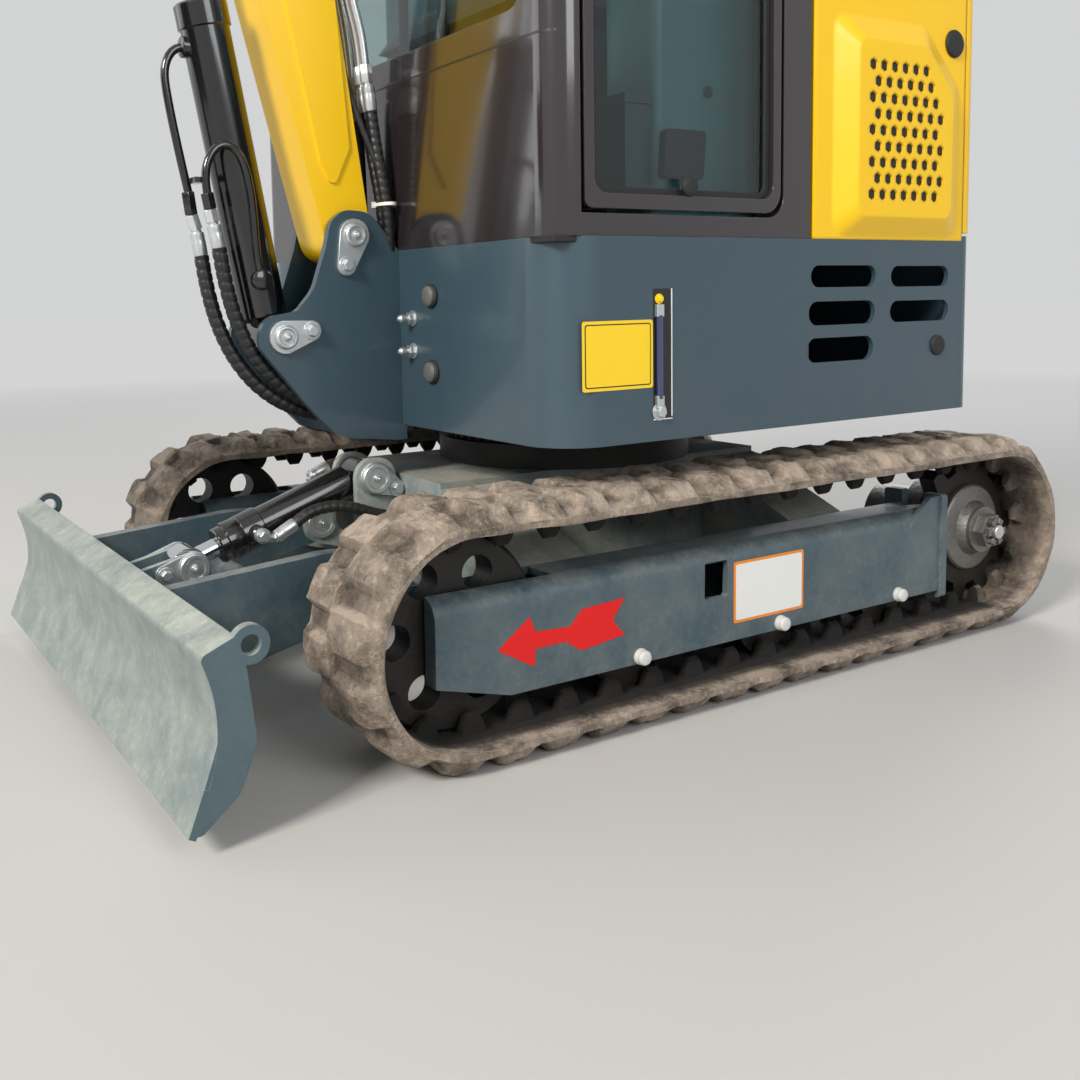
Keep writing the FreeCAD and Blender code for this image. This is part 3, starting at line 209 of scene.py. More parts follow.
def make_group(name, inputs, outputs):
    """A new group as (tree helper, its input sockets by name, its output node)."""
    tree = bpy.data.node_groups.new(name, "ShaderNodeTree")
    for label, kind, value in inputs:
        tree.interface.new_socket(label, in_out="INPUT", socket_type=kind).default_value = value
    for label, kind in outputs:
        tree.interface.new_socket(label, in_out="OUTPUT", socket_type=kind)
    t = Tree(tree)
    source = t.add("NodeGroupInput")
    return t, source.outputs, t.add("NodeGroupOutput")


def grain_group():
    """Fine colour variation and a bump height, at one scale."""
    t, i, out = make_group("fine_grain",
                           [("Color", COLOUR, GREY), ("Scale", FLOAT, 40.0), ("Variation", FLOAT, 0.1)],
                           [("Color", COLOUR), ("Height", FLOAT)])
    place = t.place()
    fine = t.noise(i["Scale"], 4.0, 0.6, place)
    broad = t.noise(t.math("MULTIPLY", i["Scale"], 0.07), 2.0, 0.5, place)
    both = t.math("ADD", t.math("MULTIPLY", fine, 0.5), t.math("MULTIPLY", broad, 0.5))
    strength = t.math("MULTIPLY", i["Variation"], 4.0)
    shade = t.math("ADD", 1.0, t.math("MULTIPLY", t.math("SUBTRACT", both, 0.5), strength))
    grey = t.add("ShaderNodeCombineColor", {0: shade, 1: shade, 2: shade}).outputs[0]
    t.feed(out, {"Color": t.mix(1.0, i["Color"], grey, "MULTIPLY"), "Height": fine})
    return t.tree


def edge_group():
    """Rounded edges, bare in patches where they are worn."""
    t, i, out = make_group("worn_edges",
                           [("Color", COLOUR, GREY), ("Bare", COLOUR, GREY),
                            ("Wear", FLOAT, 0.3), ("Radius", FLOAT, 0.002)],
                           [("Color", COLOUR), ("Normal", VECTOR)])
    soft = t.add("ShaderNodeBevel", {"Radius": i["Radius"]}, samples=4).outputs[0]
    facing = t.add("ShaderNodeVectorMath", {0: soft, 1: t.normal()}, operation="DOT_PRODUCT").outputs["Value"]
    turned = t.span(t.math("SUBTRACT", 1.0, facing), 0.04, 0.2)
    patch = t.span(t.noise(28.0, 5.0, 0.7, t.place()), 0.42, 0.62)
    mask = t.math("MULTIPLY", turned, t.math("MULTIPLY", patch, i["Wear"]), clamp=True)
    t.feed(out, {"Color": t.mix(mask, i["Color"], i["Bare"]), "Normal": soft})
    return t.tree


def dust_group():
    """Dust on what faces up and splashed up from the ground; Sides keeps it off side faces, partly as painted
    shade.
    """
    t, i, out = make_group("ground_dust",
                           [("Color", COLOUR, GREY), ("Dust", COLOUR, srgb(*DUST_COLOUR)),
                            ("Amount", FLOAT, 0.5), ("Reach", FLOAT, 0.5), ("Roughness", FLOAT, 0.4),
                            ("Patches", FLOAT, 7.0), ("Sides", FLOAT, 0.0), ("Even", FLOAT, 0.0)],
                           [("Color", COLOUR), ("Roughness", FLOAT)])
    place = t.place()
    height = t.add("ShaderNodeSeparateXYZ", {0: place}).outputs["Z"]
    normal = t.add("ShaderNodeSeparateXYZ", {0: t.normal()}).outputs
    lying = t.span(normal["Z"], 0.3, 0.95)
    # Sides: less dust on faces turned across X; partly cleaner sides, partly painted shade that keeps them
    # dark
    sides_cleared_and_shaded = t.math("MULTIPLY", t.math("ABSOLUTE", normal["X"]), i["Sides"])
    near = t.math("SUBTRACT", 1.0, t.math("DIVIDE", height, i["Reach"]), clamp=True)
    near = t.math("MULTIPLY", near, t.math("SUBTRACT", 1.0, sides_cleared_and_shaded))
    cloud = t.span(t.noise(i["Patches"], 6.0, 0.65, place), 0.35, 0.7)
    speck = t.span(t.noise(120.0, 3.0, 0.6, place), 0.5, 0.75)
    cover = t.math("ADD", t.math("MULTIPLY", lying, 0.6), t.math("MULTIPLY", near, 0.9))
    patchy = t.math("ADD", t.math("MULTIPLY", cloud, 0.75), t.math("MULTIPLY", speck, 0.35))
    patchy = t.math("ADD", i["Even"], t.math("MULTIPLY", patchy, t.math("SUBTRACT", 1.0, i["Even"])))
    mask = t.math("MULTIPLY", t.math("MULTIPLY", cover, patchy), i["Amount"], clamp=True)
    rough = t.add("ShaderNodeMix", {0: mask, 2: i["Roughness"], 3: 0.9}, data_type="FLOAT").outputs[0]
    t.feed(out, {"Color": t.mix(mask, i["Color"], i["Dust"]), "Roughness": rough})
    return t.tree


GRAIN, EDGES, DUST = grain_group(), edge_group(), dust_group()


# Finishes

def blank_material(name):
    """A new material whose tree is empty, with its tree helper."""
    mat = bpy.data.materials.new(name)
    mat.use_nodes = True
    mat.node_tree.nodes.clear()
    return mat, Tree(mat.node_tree)


def material(name, colour, rough, metal=0.0, coat=0.0, grain=(60, 0.04), bump=0.02, bump_depth=0.0004,
             bare=(150, 150, 150), wear=0.25, edge=0.0012, dust=0.25, reach=0.5, dust_colour=DUST_COLOUR,
             patches=7.0, sides=0.0, even=0.0, sheen=0.0):
    """A finish: its colour through grain, worn edges and dust, with a fine bump."""
    mat, t = blank_material(name)
    grained = t.add("ShaderNodeGroup", {"Color": srgb(*colour), "Scale": grain[0], "Variation": grain[1]},
                    node_tree=GRAIN).outputs
    worn = t.add("ShaderNodeGroup", {"Color": grained["Color"], "Bare": srgb(*bare), "Wear": wear,
                                     "Radius": edge}, node_tree=EDGES).outputs
    dusty = t.add("ShaderNodeGroup", {
        "Color": worn["Color"], "Dust": srgb(*dust_colour), "Amount": dust, "Reach": reach,
        "Roughness": rough, "Patches": patches, "Sides": sides, "Even": even}, node_tree=DUST).outputs
    raised = t.add("ShaderNodeBump", {"Strength": min(1.0, bump * 10), "Distance": bump_depth,
                                      "Height": grained["Height"], "Normal": worn["Normal"]})
    shader = t.add("ShaderNodeBsdfPrincipled", {
        "Base Color": dusty["Color"], "Roughness": dusty["Roughness"], "Metallic": metal,
        "Normal": raised.outputs[0], "Coat Weight": coat, "Coat Roughness": 0.08, "Sheen Weight": sheen})
    t.add("ShaderNodeOutputMaterial", {"Surface": shader.outputs[0]})
    return mat


SLATE = material("slate_paint", (54, 75, 86), 0.3, coat=0.3, grain=(380, 0.03), bump=0.03,
                 dust=0.12, reach=0.6, bare=(140, 146, 146), wear=0.45)
# sides keeps the frames' and push arms' side faces darker: partly less dust, partly painted shade
FRAME_SLATE = material("dusty_slate", (60, 82, 92), 0.36, coat=0.2, grain=(240, 0.06), bump=0.05,
                       dust=0.75, reach=0.3, patches=14, sides=0.45, dust_colour=(182, 178, 164),
                       bare=(160, 162, 158), wear=0.6)
LEG_SLATE = material("leg_slate", (112, 132, 134), 0.45, grain=(240, 0.06), bump=0.08,
                     dust=1.5, reach=1.2, patches=12, dust_colour=(180, 176, 162),
                     bare=(170, 170, 162), wear=0.6)
# sides keeps the blade's end plates darker: partly less dust, partly painted shade
BLADE_SLATE = material("blade_slate", (60, 84, 94), 0.4, coat=0.15, grain=(200, 0.06), bump=0.05,
                       dust=0.8, reach=1.4, patches=20, sides=0.85, even=0.4, dust_colour=(186, 190, 178),
                       bare=(170, 172, 164), wear=0.8)
YELLOW = material("yellow_paint", (250, 200, 0), 0.34, coat=0.12, grain=(300, 0.012), bump=0.01,
                  dust=0.04, bare=(120, 110, 90), wear=0.1)
COVER_YELLOW = material("cover_yellow", (250, 200, 0), 0.32, coat=0.15, grain=(300, 0.012), bump=0.01,
                        dust=0.04, bare=(200, 170, 60), wear=0.05, edge=0.006)
CAB_PAINT = material("cab_paint", (42, 36, 39), 0.16, coat=0.8, grain=(260, 0.04), bump=0.01,
                     dust=0.08, wear=0.1, edge=0.003)
BLACK_PAINT = material("cylinder_paint", (14, 14, 16), 0.18, coat=0.7, grain=(260, 0.04), bump=0.01,
                       dust=0.1, wear=0.12)
BUCKET_PAINT = material("bucket_paint", (48, 52, 54), 0.5, grain=(90, 0.1), bump=0.04,
                        dust=0.35, reach=2.2, bare=(170, 166, 158), wear=0.8)
CHROME = material("rod_chrome", (214, 216, 220), 0.08, metal=1.0, grain=(200, 0.02), bump=0.005,
                  dust=0.06, wear=0.0)
ZINC = material("pin_zinc", (204, 208, 208), 0.32, metal=0.8, grain=(240, 0.1), bump=0.03,
                dust=0.12, wear=0.2)
PIPE = material("hard_pipe", (220, 222, 224), 0.22, metal=0.8, grain=(240, 0.04), dust=0.05, wear=0.0)
# Dark cast iron, darkened further as painted shade: the idlers and sprockets sit in the belts' shadow
SHADED_CAST = material("running_gear", (22, 21, 20), 0.5, metal=0.3, grain=(140, 0.14), bump=0.1,
                bump_depth=0.0008, dust=0.3, reach=0.4, dust_colour=(104, 92, 78),
                bare=(150, 148, 144), wear=0.5)
TRACK = material("track_rubber", (98, 88, 78), 0.9, grain=(340, 0.5), bump=0.6, bump_depth=0.004,
                 dust=1.5, reach=1.8, patches=22, dust_colour=(190, 172, 154),
                 bare=(206, 190, 170), wear=1.0, edge=0.003)
ROLLER = material("roller_steel", (44, 42, 40), 0.4, metal=0.6, grain=(140, 0.14), bump=0.1,
                  dust=0.3, reach=0.4, dust_colour=(104, 92, 78), bare=(176, 172, 164), wear=1.2)
WORN_RUBBER = material("worn_rubber", (92, 92, 88), 0.5, grain=(120, 0.2), bump=0.1,
                       dust=0.2, reach=1.0, bare=(140, 138, 132), wear=0.4)
BLACK_RUBBER = material("black_rubber", (26, 26, 27), 0.62, grain=(220, 0.08), bump=0.05,
                        dust=0.15, wear=0.0)
HOSE = material("hose_rubber", (22, 22, 23), 0.42, grain=(260, 0.06), bump=0.04, dust=0.2, wear=0.0)
CASTING = material("hub_casting", (126, 125, 122), 0.42, metal=0.75, grain=(150, 0.2), bump=0.6,
                   bump_depth=0.0014, dust=0.3, reach=0.6, wear=0.4)
BOLT_WHITE = material("bolt_white", (214, 216, 212), 0.45, grain=(240, 0.08), bump=0.05,
                      dust=0.3, reach=0.4, wear=0.2)
PLASTIC = material("console_plastic", (36, 36, 38), 0.5, grain=(500, 0.05), bump=0.08,
                   dust=0.06, wear=0.0)
# Slate paint made much lighter: a painted highlight for the light falling on the console inside the cab
LIT_CONSOLE_SLATE = material("console_lit_slate", (96, 134, 140), 0.35, coat=0.2, grain=(300, 0.03),
                         dust=0.1, wear=0.2)
SEAT_VINYL = material("seat_cover", (34, 34, 36), 0.46, grain=(420, 0.08), bump=0.1,
                      bump_depth=0.0006, dust=0.05, wear=0.0, sheen=0.15)
FLOOR_MAT = material("floor_rubber", (38, 38, 40), 0.7, grain=(160, 0.1), bump=0.1,
                     dust=0.2, reach=2.0, wear=0.0)
GAUGE_BLUE = material("gauge_tube", (40, 52, 96), 0.08, coat=1.0, grain=(60, 0.02), dust=0.02, wear=0.0)
# Flat dark finish for the sheet behind the vents: painted shadow in the vent holes
VENT_SHADOW = material("vent_shadow_sheet", (24, 24, 24), 0.6, grain=(300, 0.1), dust=0.1, wear=0.0)


def plate_finish(name, colour, rough=0.35, coat=0.3, dust=0.05):
    """A thin plate's or transfer's finish, with crisp edges that don't wear."""
    return material(name, colour, rough, coat=coat, grain=(200, 0.02), dust=dust, wear=0.0, edge=0.0002)


RED = plate_finish("arrow_red", (226, 2, 0), 0.5, coat=0.0, dust=0.02)
WHITE = plate_finish("plate_white", (236, 236, 232))
ORANGE = plate_finish("plate_orange", (242, 138, 20))
PLATE_YELLOW = plate_finish("plate_yellow", (252, 210, 20), dust=0.03)
PLATE_BLACK = plate_finish("plate_black", (20, 20, 20), 0.4, coat=0.2)


def glass_material():
    """Tinted pane: see-through from both sides, with a gloss of its own."""
    mat, t = blank_material("tinted_glass")
    dusty = t.add("ShaderNodeGroup", {"Color": srgb(196, 212, 212), "Amount": 0.03, "Reach": 2.0,
                                      "Roughness": 0.02}, node_tree=DUST).outputs
    shader = t.add("ShaderNodeBsdfPrincipled", {
        "Base Color": dusty["Color"], "Roughness": dusty["Roughness"], "IOR": 1.45,
        "Transmission Weight": 1.0})
    t.add("ShaderNodeOutputMaterial", {"Surface": shader.outputs[0]})
    return mat


GLASS = glass_material()

# Finishes of the CAD nodes

FINISHES = {
    "belt": TRACK, "track_frame": FRAME_SLATE, "rollers": ROLLER, "idler": SHADED_CAST, "sprocket": SHADED_CAST,
    "motor": CASTING, "car_body": LEG_SLATE, "frame_legs": LEG_SLATE, "slew_seat": SHADED_CAST, "slew_ring": SHADED_CAST,
    "push_pins": ZINC, "moldboard": BLADE_SLATE, "push_arms": FRAME_SLATE,
    "slew_race": SHADED_CAST, "platform": SLATE, "boom_bracket": SLATE, "skirt": SLATE, "counterweight": SLATE,
    "engine": SHADED_CAST, "engine_cover": COVER_YELLOW, "top_cover": CAB_PAINT, "rear_hood": YELLOW,
    "cab_front": CAB_PAINT, "cab_left": CAB_PAINT, "cab_right": CAB_PAINT, "cab_back": CAB_PAINT,
    "cab_roof": CAB_PAINT, "cab_floor": FLOOR_MAT, "cab_glass": GLASS, "door_frame": CAB_PAINT,
    "door_glass": GLASS, "seat_box": SLATE, "seat": SEAT_VINYL, "console": LIT_CONSOLE_SLATE,
    "travel_levers": PLASTIC, "boom": YELLOW, "arm": YELLOW, "rocker": BUCKET_PAINT,
    "bucket_link": BUCKET_PAINT, "bucket": BUCKET_PAINT, "bracket_pins": ZINC, "boom_pins": ZINC,
    "arm_pins": ZINC,
}


def finish_of(node):
    """The finish of a node by its name, which may end in its side."""
    if node.endswith("_barrel"):
        return BLACK_PAINT
    if node.endswith("_rod"):
        return CHROME
    for side in SIDES:
        plain = node.removesuffix("_" + side)
        if plain != node and plain in FINISHES:
            return FINISHES[plain]
    return FINISHES[node]


for node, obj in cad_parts.items():
    for place in obj.material_slots:
        place.material = finish_of(node)


# Building pieces

class Shape:
    """A mesh under construction: points in the frame's metres, lengths in millimetres."""

    def __init__(self):
        self.mesh = bmesh.new()

    def bridge(self, a, b):
        """Faces between two loops with as many corners."""
        n = len(a)
        for k in range(n):
            self.mesh.faces.new((a[k], a[(k + 1) % n], b[(k + 1) % n], b[k]))

    def loft(self, loops, closed=False):
        """A skin through loops of points. It goes back to the first loop where it is closed,
        and is capped at both ends where it isn't."""
        rings = [[self.mesh.verts.new(p) for p in loop] for loop in loops]
        back = rings[:1] if closed else []
        for a, b in zip(rings, rings[1:] + back):
            self.bridge(a, b)
        if not closed:
            self.mesh.faces.new(rings[0][::-1])
            self.mesh.faces.new(rings[-1])

    def lathe(self, base, axis, profile, count=32, closed=False):
        """Revolve (along, radius) pairs about an axis through base. Where the profile is
        closed, the shape is open in its middle."""
        axis = axis.normalized()
        u = axis.orthogonal().normalized()
        v = axis.cross(u)
        turns = [2 * math.pi * k / count for k in range(count)]
        loops = []
        for along, r in profile:
            centre, reach = base + axis * (along / 1000), r / 1000
            loops.append([centre + u * (reach * math.cos(a)) + v * (reach * math.sin(a)) for a in turns])
        self.loft(loops, closed)

    def hex_head(self, base, axis, r=9, height=7, washer=True):
        """A bolt's head on its washer, r half its width over corners."""
        if washer:
            self.lathe(base, axis, [(0, r * 1.45), (1.8, r * 1.45)], 28)
            base = base + axis.normalized() * 0.0018
        self.lathe(base, axis, [(0, r), (height - 1.2, r), (height, r * 0.86)], 6)

    def block(self, low, high):
        """A box between two corners, in the machine's millimetres."""
        a, b = at(*low), at(*high)
        corners = [self.mesh.verts.new((x, y, z)) for z in (a.z, b.z) for y in (a.y, b.y) for x in (a.x, b.x)]
        for f in ((0, 2, 3, 1), (4, 5, 7, 6), (0, 1, 5, 4), (2, 6, 7, 3), (0, 4, 6, 2), (1, 3, 7, 5)):
            self.mesh.faces.new([corners[k] for k in f])

    def prism(self, points, thick):
        """A plate from its outline, thick a vector in metres."""
        self.loft([points, [p + thick for p in points]])

    def plate(self, x, outline, thick):
        """A plate across X from its outline of (y, z) in the machine's millimetres."""
        self.prism([at(x, y, z) for y, z in outline], X * (thick / 1000))


def dress(name, mesh, finish, body, bevel=0.0, smooth=35):
    """Turn a mesh into an object with a finish. It rides on a body, unless that is None."""
    obj = new_object(name, mesh)
    mesh.materials.append(finish)
    mesh.shade_smooth()
    mesh.set_sharp_from_angle(angle=math.radians(smooth))
    if bevel:
        soft = obj.modifiers.new("edges", "BEVEL")
        soft.width = bevel / 1000
        soft.segments = 2
        soft.limit_method = "ANGLE"
        soft.angle_limit = math.radians(40)
        soft.harden_normals = True
    if body:
        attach(obj, body)
    return obj


def piece(name, shape, finish, body, bevel=0.6, smooth=35):
    """Close a shape and turn it into an object that rides on a body."""
    bmesh.ops.recalc_face_normals(shape.mesh, faces=shape.mesh.faces)
    mesh = bpy.data.meshes.new(name)
    shape.mesh.to_mesh(mesh)
    shape.mesh.free()
    return dress(name, mesh, finish, body, bevel, smooth)


def skin_point(node, start, ahead):
    """Where a ray from start, in the frame's metres, meets a node of the CAD, or None."""
    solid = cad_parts[node]
    inward = solid.matrix_world.inverted()
    hit, place, _, _ = solid.ray_cast(inward @ start, inward.to_3x3() @ ahead, distance=2)
    return solid.matrix_world @ place if hit else None


def rounded_outline(corners, r, steps=5):
    """A closed outline with every corner rounded by r."""
    out = []
    n = len(corners)
    for k, c in enumerate(corners):
        here = Vector((*c, 0))
        a = (Vector((*corners[k - 1], 0)) - here).normalized()
        b = (Vector((*corners[(k + 1) % n], 0)) - here).normalized()
        back = r / math.tan(a.angle(b) / 2)
        start, stop = here + a * back, here + b * back
        for j in range(steps + 1):
            t = j / steps
            p = start * (1 - t) ** 2 + here * 2 * t * (1 - t) + stop * t * t
            out.append((p.x, p.y))
    return out


def rounded_box(y0, z0, y1, z1, r):
    """The outline of a rectangle with rounded corners."""
    return rounded_outline([(y0, z0), (y1, z0), (y1, z1), (y0, z1)], r)


def smooth_line(points, step):
    """Points every step metres along a cubic B-spline through both end points."""
    pts = [Vector(p) for p in points]
    pts = [pts[0]] * 2 + pts + [pts[-1]] * 2
    dense = []
    for a, b, c, d in zip(pts, pts[1:], pts[2:], pts[3:]):
        for k in range(24):
            t = k / 24
            dense.append((a * (1 - t) ** 3 + b * (3 * t ** 3 - 6 * t * t + 4)
                          + c * (-3 * t ** 3 + 3 * t * t + 3 * t + 1) + d * t ** 3) / 6)
    dense.append(pts[-1])
    out, left = [dense[0]], step
    for a, b in zip(dense, dense[1:]):
        length = (b - a).length
        while length >= left and length > 0:
            a = a + (b - a) * (left / length)
            out.append(a)
            length, left = (b - a).length, step
        left -= length
    if (out[-1] - dense[-1]).length > step / 3:
        out.append(dense[-1])
    else:
        out[-1] = dense[-1]
    return out


HOSE_SIDES = 14
GUARD_STEP = 0.0022                  # between the rings of a hose with a guard
GUARD_GAP, GUARD_DEEP = 0.2, 0.88    # the groove's part of a turn, and its part of the radius


def tube(name, points, r, finish, body, wrap=0, joined=None):
    """A pipe or hose of radius r. wrap is the pitch of a spiral guard. A hose between two
    bodies has them in joined, with two of its points; such a hose rides on neither body,
    and the bodies and points in joined are not used."""
    line = smooth_line([at(*p) for p in points], GUARD_STEP if wrap else min(0.008, r / 1000 * 1.2))
    u = (line[1] - line[0]).normalized().orthogonal().normalized()
    loops = []
    run = 0.0
    for k, p in enumerate(line):
        before, after = line[max(k - 1, 0)], line[min(k + 1, len(line) - 1)]
        run += (p - before).length * 1000
        direction = (after - before).normalized()
        u = (u - direction * u.dot(direction)).normalized()
        v = direction.cross(u)
        loop = []
        for j in range(HOSE_SIDES):
            a = 2 * math.pi * j / HOSE_SIDES
            grooved = wrap and (run / wrap + j / HOSE_SIDES) % 1 < GUARD_GAP
            reach = r * (GUARD_DEEP if grooved else 1.0)
            loop.append(p + (u * math.cos(a) + v * math.sin(a)) * (reach / 1000))
        loops.append(loop)
    shape = Shape()
    shape.loft(loops)
    obj = piece(name, shape, finish, None if joined else body, bevel=0, smooth=50 if wrap else 60)
    if joined:
        a, b, start, end = joined
        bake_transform(obj)


# Tracks, which take the place of the plain belts

LINKS, STATIONS = 40, 16             # links of a belt, and stations on each
BELT_THICK = 35                      # from the belt's inner face to its lugs' tips
CARCASS, LUG_HIGH = 21, 14
LUG_FOOT, LUG_TIP = 52, 38           # a lug's length along the belt
GUIDE_DEEP, GUIDE_FOOT, GUIDE_TIP = 26, 40, 20
GUIDE_SHAPE = {37: 0.85, 31: 1.0, 25: 0.85}      # how high a guide lug is across the belt
CORE = 8.7                           # height of the cords, which keep their length


def mirrored(half, middle=()):
    """Places across the belt: a half's, the middle's, and the first half's on the other side."""
    return *half, *middle, *(-x for x in reversed(half))


TREAD = mirrored((-88, -85, -79, -71, -60, -42, -22, -5, -1))
INNER = mirrored((88, 78, 64, 52, 43, 40, 37, 31, 25, 22, 12), (0,))


def ramp(v, start, stop):
    """0 at start, 1 at stop, smooth between them and level beyond."""
    part = min(1.0, max(0.0, (v - start) / (stop - start)))
    return part * part * (3 - 2 * part)


def tooth(along, phase, pitch, foot, tip):
    """How far a tooth of each link stands up, from 0 to 1, at a place along the belt."""
    away = ((along / pitch - phase + 0.5) % 1 - 0.5) * pitch
    return ramp(abs(away), foot / 2, tip / 2)


def track_belt(side):
    """A worn belt: staggered lugs outside, sloped flanges and guide lugs inside."""
    low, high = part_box("belt_" + side)
    radius = (high[2] - low[2]) * 500
    wheel = radius - BELT_THICK
    axle = low[2] * 1000 + radius
    front, rear = low[1] * 1000 + radius, high[1] * 1000 - radius
    middle = (low[0] + high[0]) * 500
    line_r = wheel + CORE
    span, arc = rear - front, math.pi * line_r
    pitch = 2 * (span + arc) / LINKS

    def place(along, across, out):
        """A point of the belt, out from its inner face."""
        r = wheel + out
        if along < span:
            y, z = front + along, axle - r
        elif along < span + arc:
            a = (along - span) / line_r
            y, z = rear + r * math.sin(a), axle - r * math.cos(a)
        elif along < 2 * span + arc:
            y, z = rear - (along - span - arc), axle + r
        else:
            a = (along - 2 * span - arc) / line_r
            y, z = front - r * math.sin(a), axle + r * math.cos(a)
        return Vector(((middle + across) / 1000, y / 1000, z / 1000))

    verts, painted_shades = [], []
    for k in range(LINKS * STATIONS):
        along = k * pitch / STATIONS
        spot = place(along, 0, 0)
        lugs = [tooth(along, phase, pitch, LUG_FOOT, LUG_TIP) for phase in (0.25, 0.75)]
        guide = tooth(along, 0.25, pitch, GUIDE_FOOT, GUIDE_TIP)
        # painted shade on the belt's inner side, a little less where it wraps the sprocket
        under = 0.7 if span < along < span + arc else 1.0
        wave = noise(spot * 16)
        ring = []                    # (across, out, painted shade) round the belt's section
        for across in TREAD:
            rough = Vector((across / 1000, spot.y, spot.z))
            worn = max(0.0, 1.8 + 3.0 * noise(rough * 40) + 2.4 * noise(rough * 110))
            if abs(across) <= 1:
                lug = max(lugs) * 0.85
            else:
                lug = lugs[0 if across < 0 else 1] * ramp(abs(across), 91, 72)
            thin = 9 * ramp(abs(across), 58, 90)
            out = CARCASS + LUG_HIGH * lug - worn * (0.5 + 0.8 * lug) - thin
            # painted shade in the valleys between the lugs
            ring.append((across, out, 0.55 * (1 - min(1.0, 1.5 * lug)) * ramp(abs(across), 84, 60)))
        flanks = []
        for edge in (1, -1):
            across = edge * (90 - max(0.0, 1.8 + 2.2 * noise(spot * 34 + Vector((edge, 0, 0)))))
            flanks.append([(across, 10.5 + wave, 0.0), (across, 3.5 + wave * 2, 0.0)])
        ring += flanks[0]
        for across in INNER:
            flange = 2 * ramp(abs(across), 44, 86) + wave * 3 * ramp(abs(across), 60, 88)
            horn = GUIDE_DEEP * GUIDE_SHAPE.get(abs(across), 0.0) * guide
            # painted shade on the inner face and the guide lugs, which the frame and rollers shade
            ring.append((across, flange - horn, under * ramp(abs(across), 78, 60)))
        ring += reversed(flanks[1])
        verts += [place(along, across, out) for across, out, _ in ring]
        painted_shades += [shade for _, _, shade in ring]
    count, size = LINKS * STATIONS, len(ring)
    faces = []
    for k in range(count):
        a, b = k * size, (k + 1) % count * size
        for j in range(size):
            faces.append((a + j, b + j, b + (j + 1) % size, a + (j + 1) % size))
    mesh = bpy.data.meshes.new("worn_belt_" + side)
    mesh.from_pydata(verts, [], faces)
    mesh.attributes.new("shade", "FLOAT", "POINT").data.foreach_set("value", painted_shades)
    obj = dress("worn_belt_" + side, mesh, TRACK, "undercarriage", smooth=42)
    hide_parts("belt_" + side)


def paint_shade_inside(mat, colour):
    """Paint shade into a finish where the mesh's shade attribute asks for it, with little dust and wear
    there.
    """
    t = Tree(mat.node_tree)
    shade = t.add("ShaderNodeAttribute", attribute_name="shade").outputs["Fac"]
    for node in [n for n in mat.node_tree.nodes if n.type == "GROUP"]:
        if node.node_tree == GRAIN:
            base = tuple(node.inputs["Color"].default_value)
            t.feed(node, {"Color": t.mix(shade, base, srgb(*colour))})
        elif node.node_tree == DUST:
            t.feed(node, {"Amount": t.span(shade, 0, 1, node.inputs["Amount"].default_value, 0.03)})
        elif node.node_tree == EDGES:
            t.feed(node, {"Wear": t.span(shade, 0, 1, node.inputs["Wear"].default_value, 0)})


# colour of the painted shade inside the belts and between their lugs
paint_shade_inside(TRACK, (18, 17, 15))
for track_side in SIDES:
    track_belt(track_side)


# Pins, bolts and plates

FLAG_THICK = 6                       # thickness of a pin's retainer flag
FRAME_SIDE, SKIRT_SIDE = 450, 460    # x of the track frame's and the skirt's outer face
PLATFORM_FRONT = -305
ROLLER_YS, ROLLER_Z = (-170, 92, 354), 87        # centres of the bottom rollers
HUB_Y, HUB_Z, HUB_SIDE = 580, 160, 462           # centre and outer face of the hubs


def flag(shape, x, sign, pin, bolt, r_pin, r_bolt):
    """A teardrop plate on a face at x, over a pin's end and a bolt."""
    away = Vector((bolt[0] - pin[0], bolt[1] - pin[1])).normalized()
    outline = []
    for centre, r, start in ((pin, r_pin, 90), (bolt, r_bolt, -90)):
        for k in range(9):
            a = math.radians(start + k * 180 / 8)
            c, s = r * math.cos(a), r * math.sin(a)
            outline.append((centre[0] + away.x * c - away.y * s, centre[1] + away.y * c + away.x * s))
    shape.plate(x, outline, sign * FLAG_THICK)


def pin_head(shape, x, sign, pin, r):
    """A pin's turned head, hollow in front, with its grease nipple."""
    out = X * sign
    shape.lathe(at(x, *pin), out, [(0, r), (5, r), (7, r - 2), (7, r * 0.68), (5, r * 0.64)], 36)
    shape.lathe(at(x + sign * 5, *pin), out, [(0, 6), (3, 6), (3, 3.6), (7, 3.6), (9, 2.2)], 12)


def held_pin(shape, side, sign, pin, bolt, flag_r, head_r, bolt_r, bolt_high):
    """A pin's flag on a face, with the pin's head and the bolt that keeps it from turning."""
    flag(shape, sign * side, sign, pin, bolt, *flag_r)
    x = sign * (side + FLAG_THICK)
    pin_head(shape, x, sign, pin, head_r)
    shape.hex_head(at(x, *bolt), X * sign, bolt_r, bolt_high)


def bracket_pin_heads():
    """Heads of the boom's foot pin and the boom cylinder's base pin, with flags and bolts."""
    shape = Shape()
    for sign in (1, -1):
        for pin, bolt in ((FOOT, (-394, 611)), (BOOM_RAM, (-453, 518))):
            held_pin(shape, 64, sign, pin, bolt, (24, 15), 17, 9, 7)
    piece("bracket_pin_heads", shape, ZINC, "upper")


bracket_pin_heads()


def blade_pin_heads():
    """Heads of the blade cylinder's two pins and of the push arms' pins."""
    frame_side, blade_side = Shape(), Shape()
    for sign in (1, -1):
        held_pin(frame_side, 45, sign, BLADE_RAM, (-311, 272), (26, 13), 24, 9, 6)
        for x, out in ((209.3, sign), (160.7, -sign)):
            pin_head(frame_side, sign * x, out, PUSH_PIN, 26)
        held_pin(blade_side, 34.2, sign, BLADE_EYE, (-671, 186), (24, 15), 22, 8, 6)
    piece("undercarriage_pin_heads", frame_side, ZINC, "undercarriage")
    piece("blade_pin_heads", blade_side, ZINC, "blade")


blade_pin_heads()


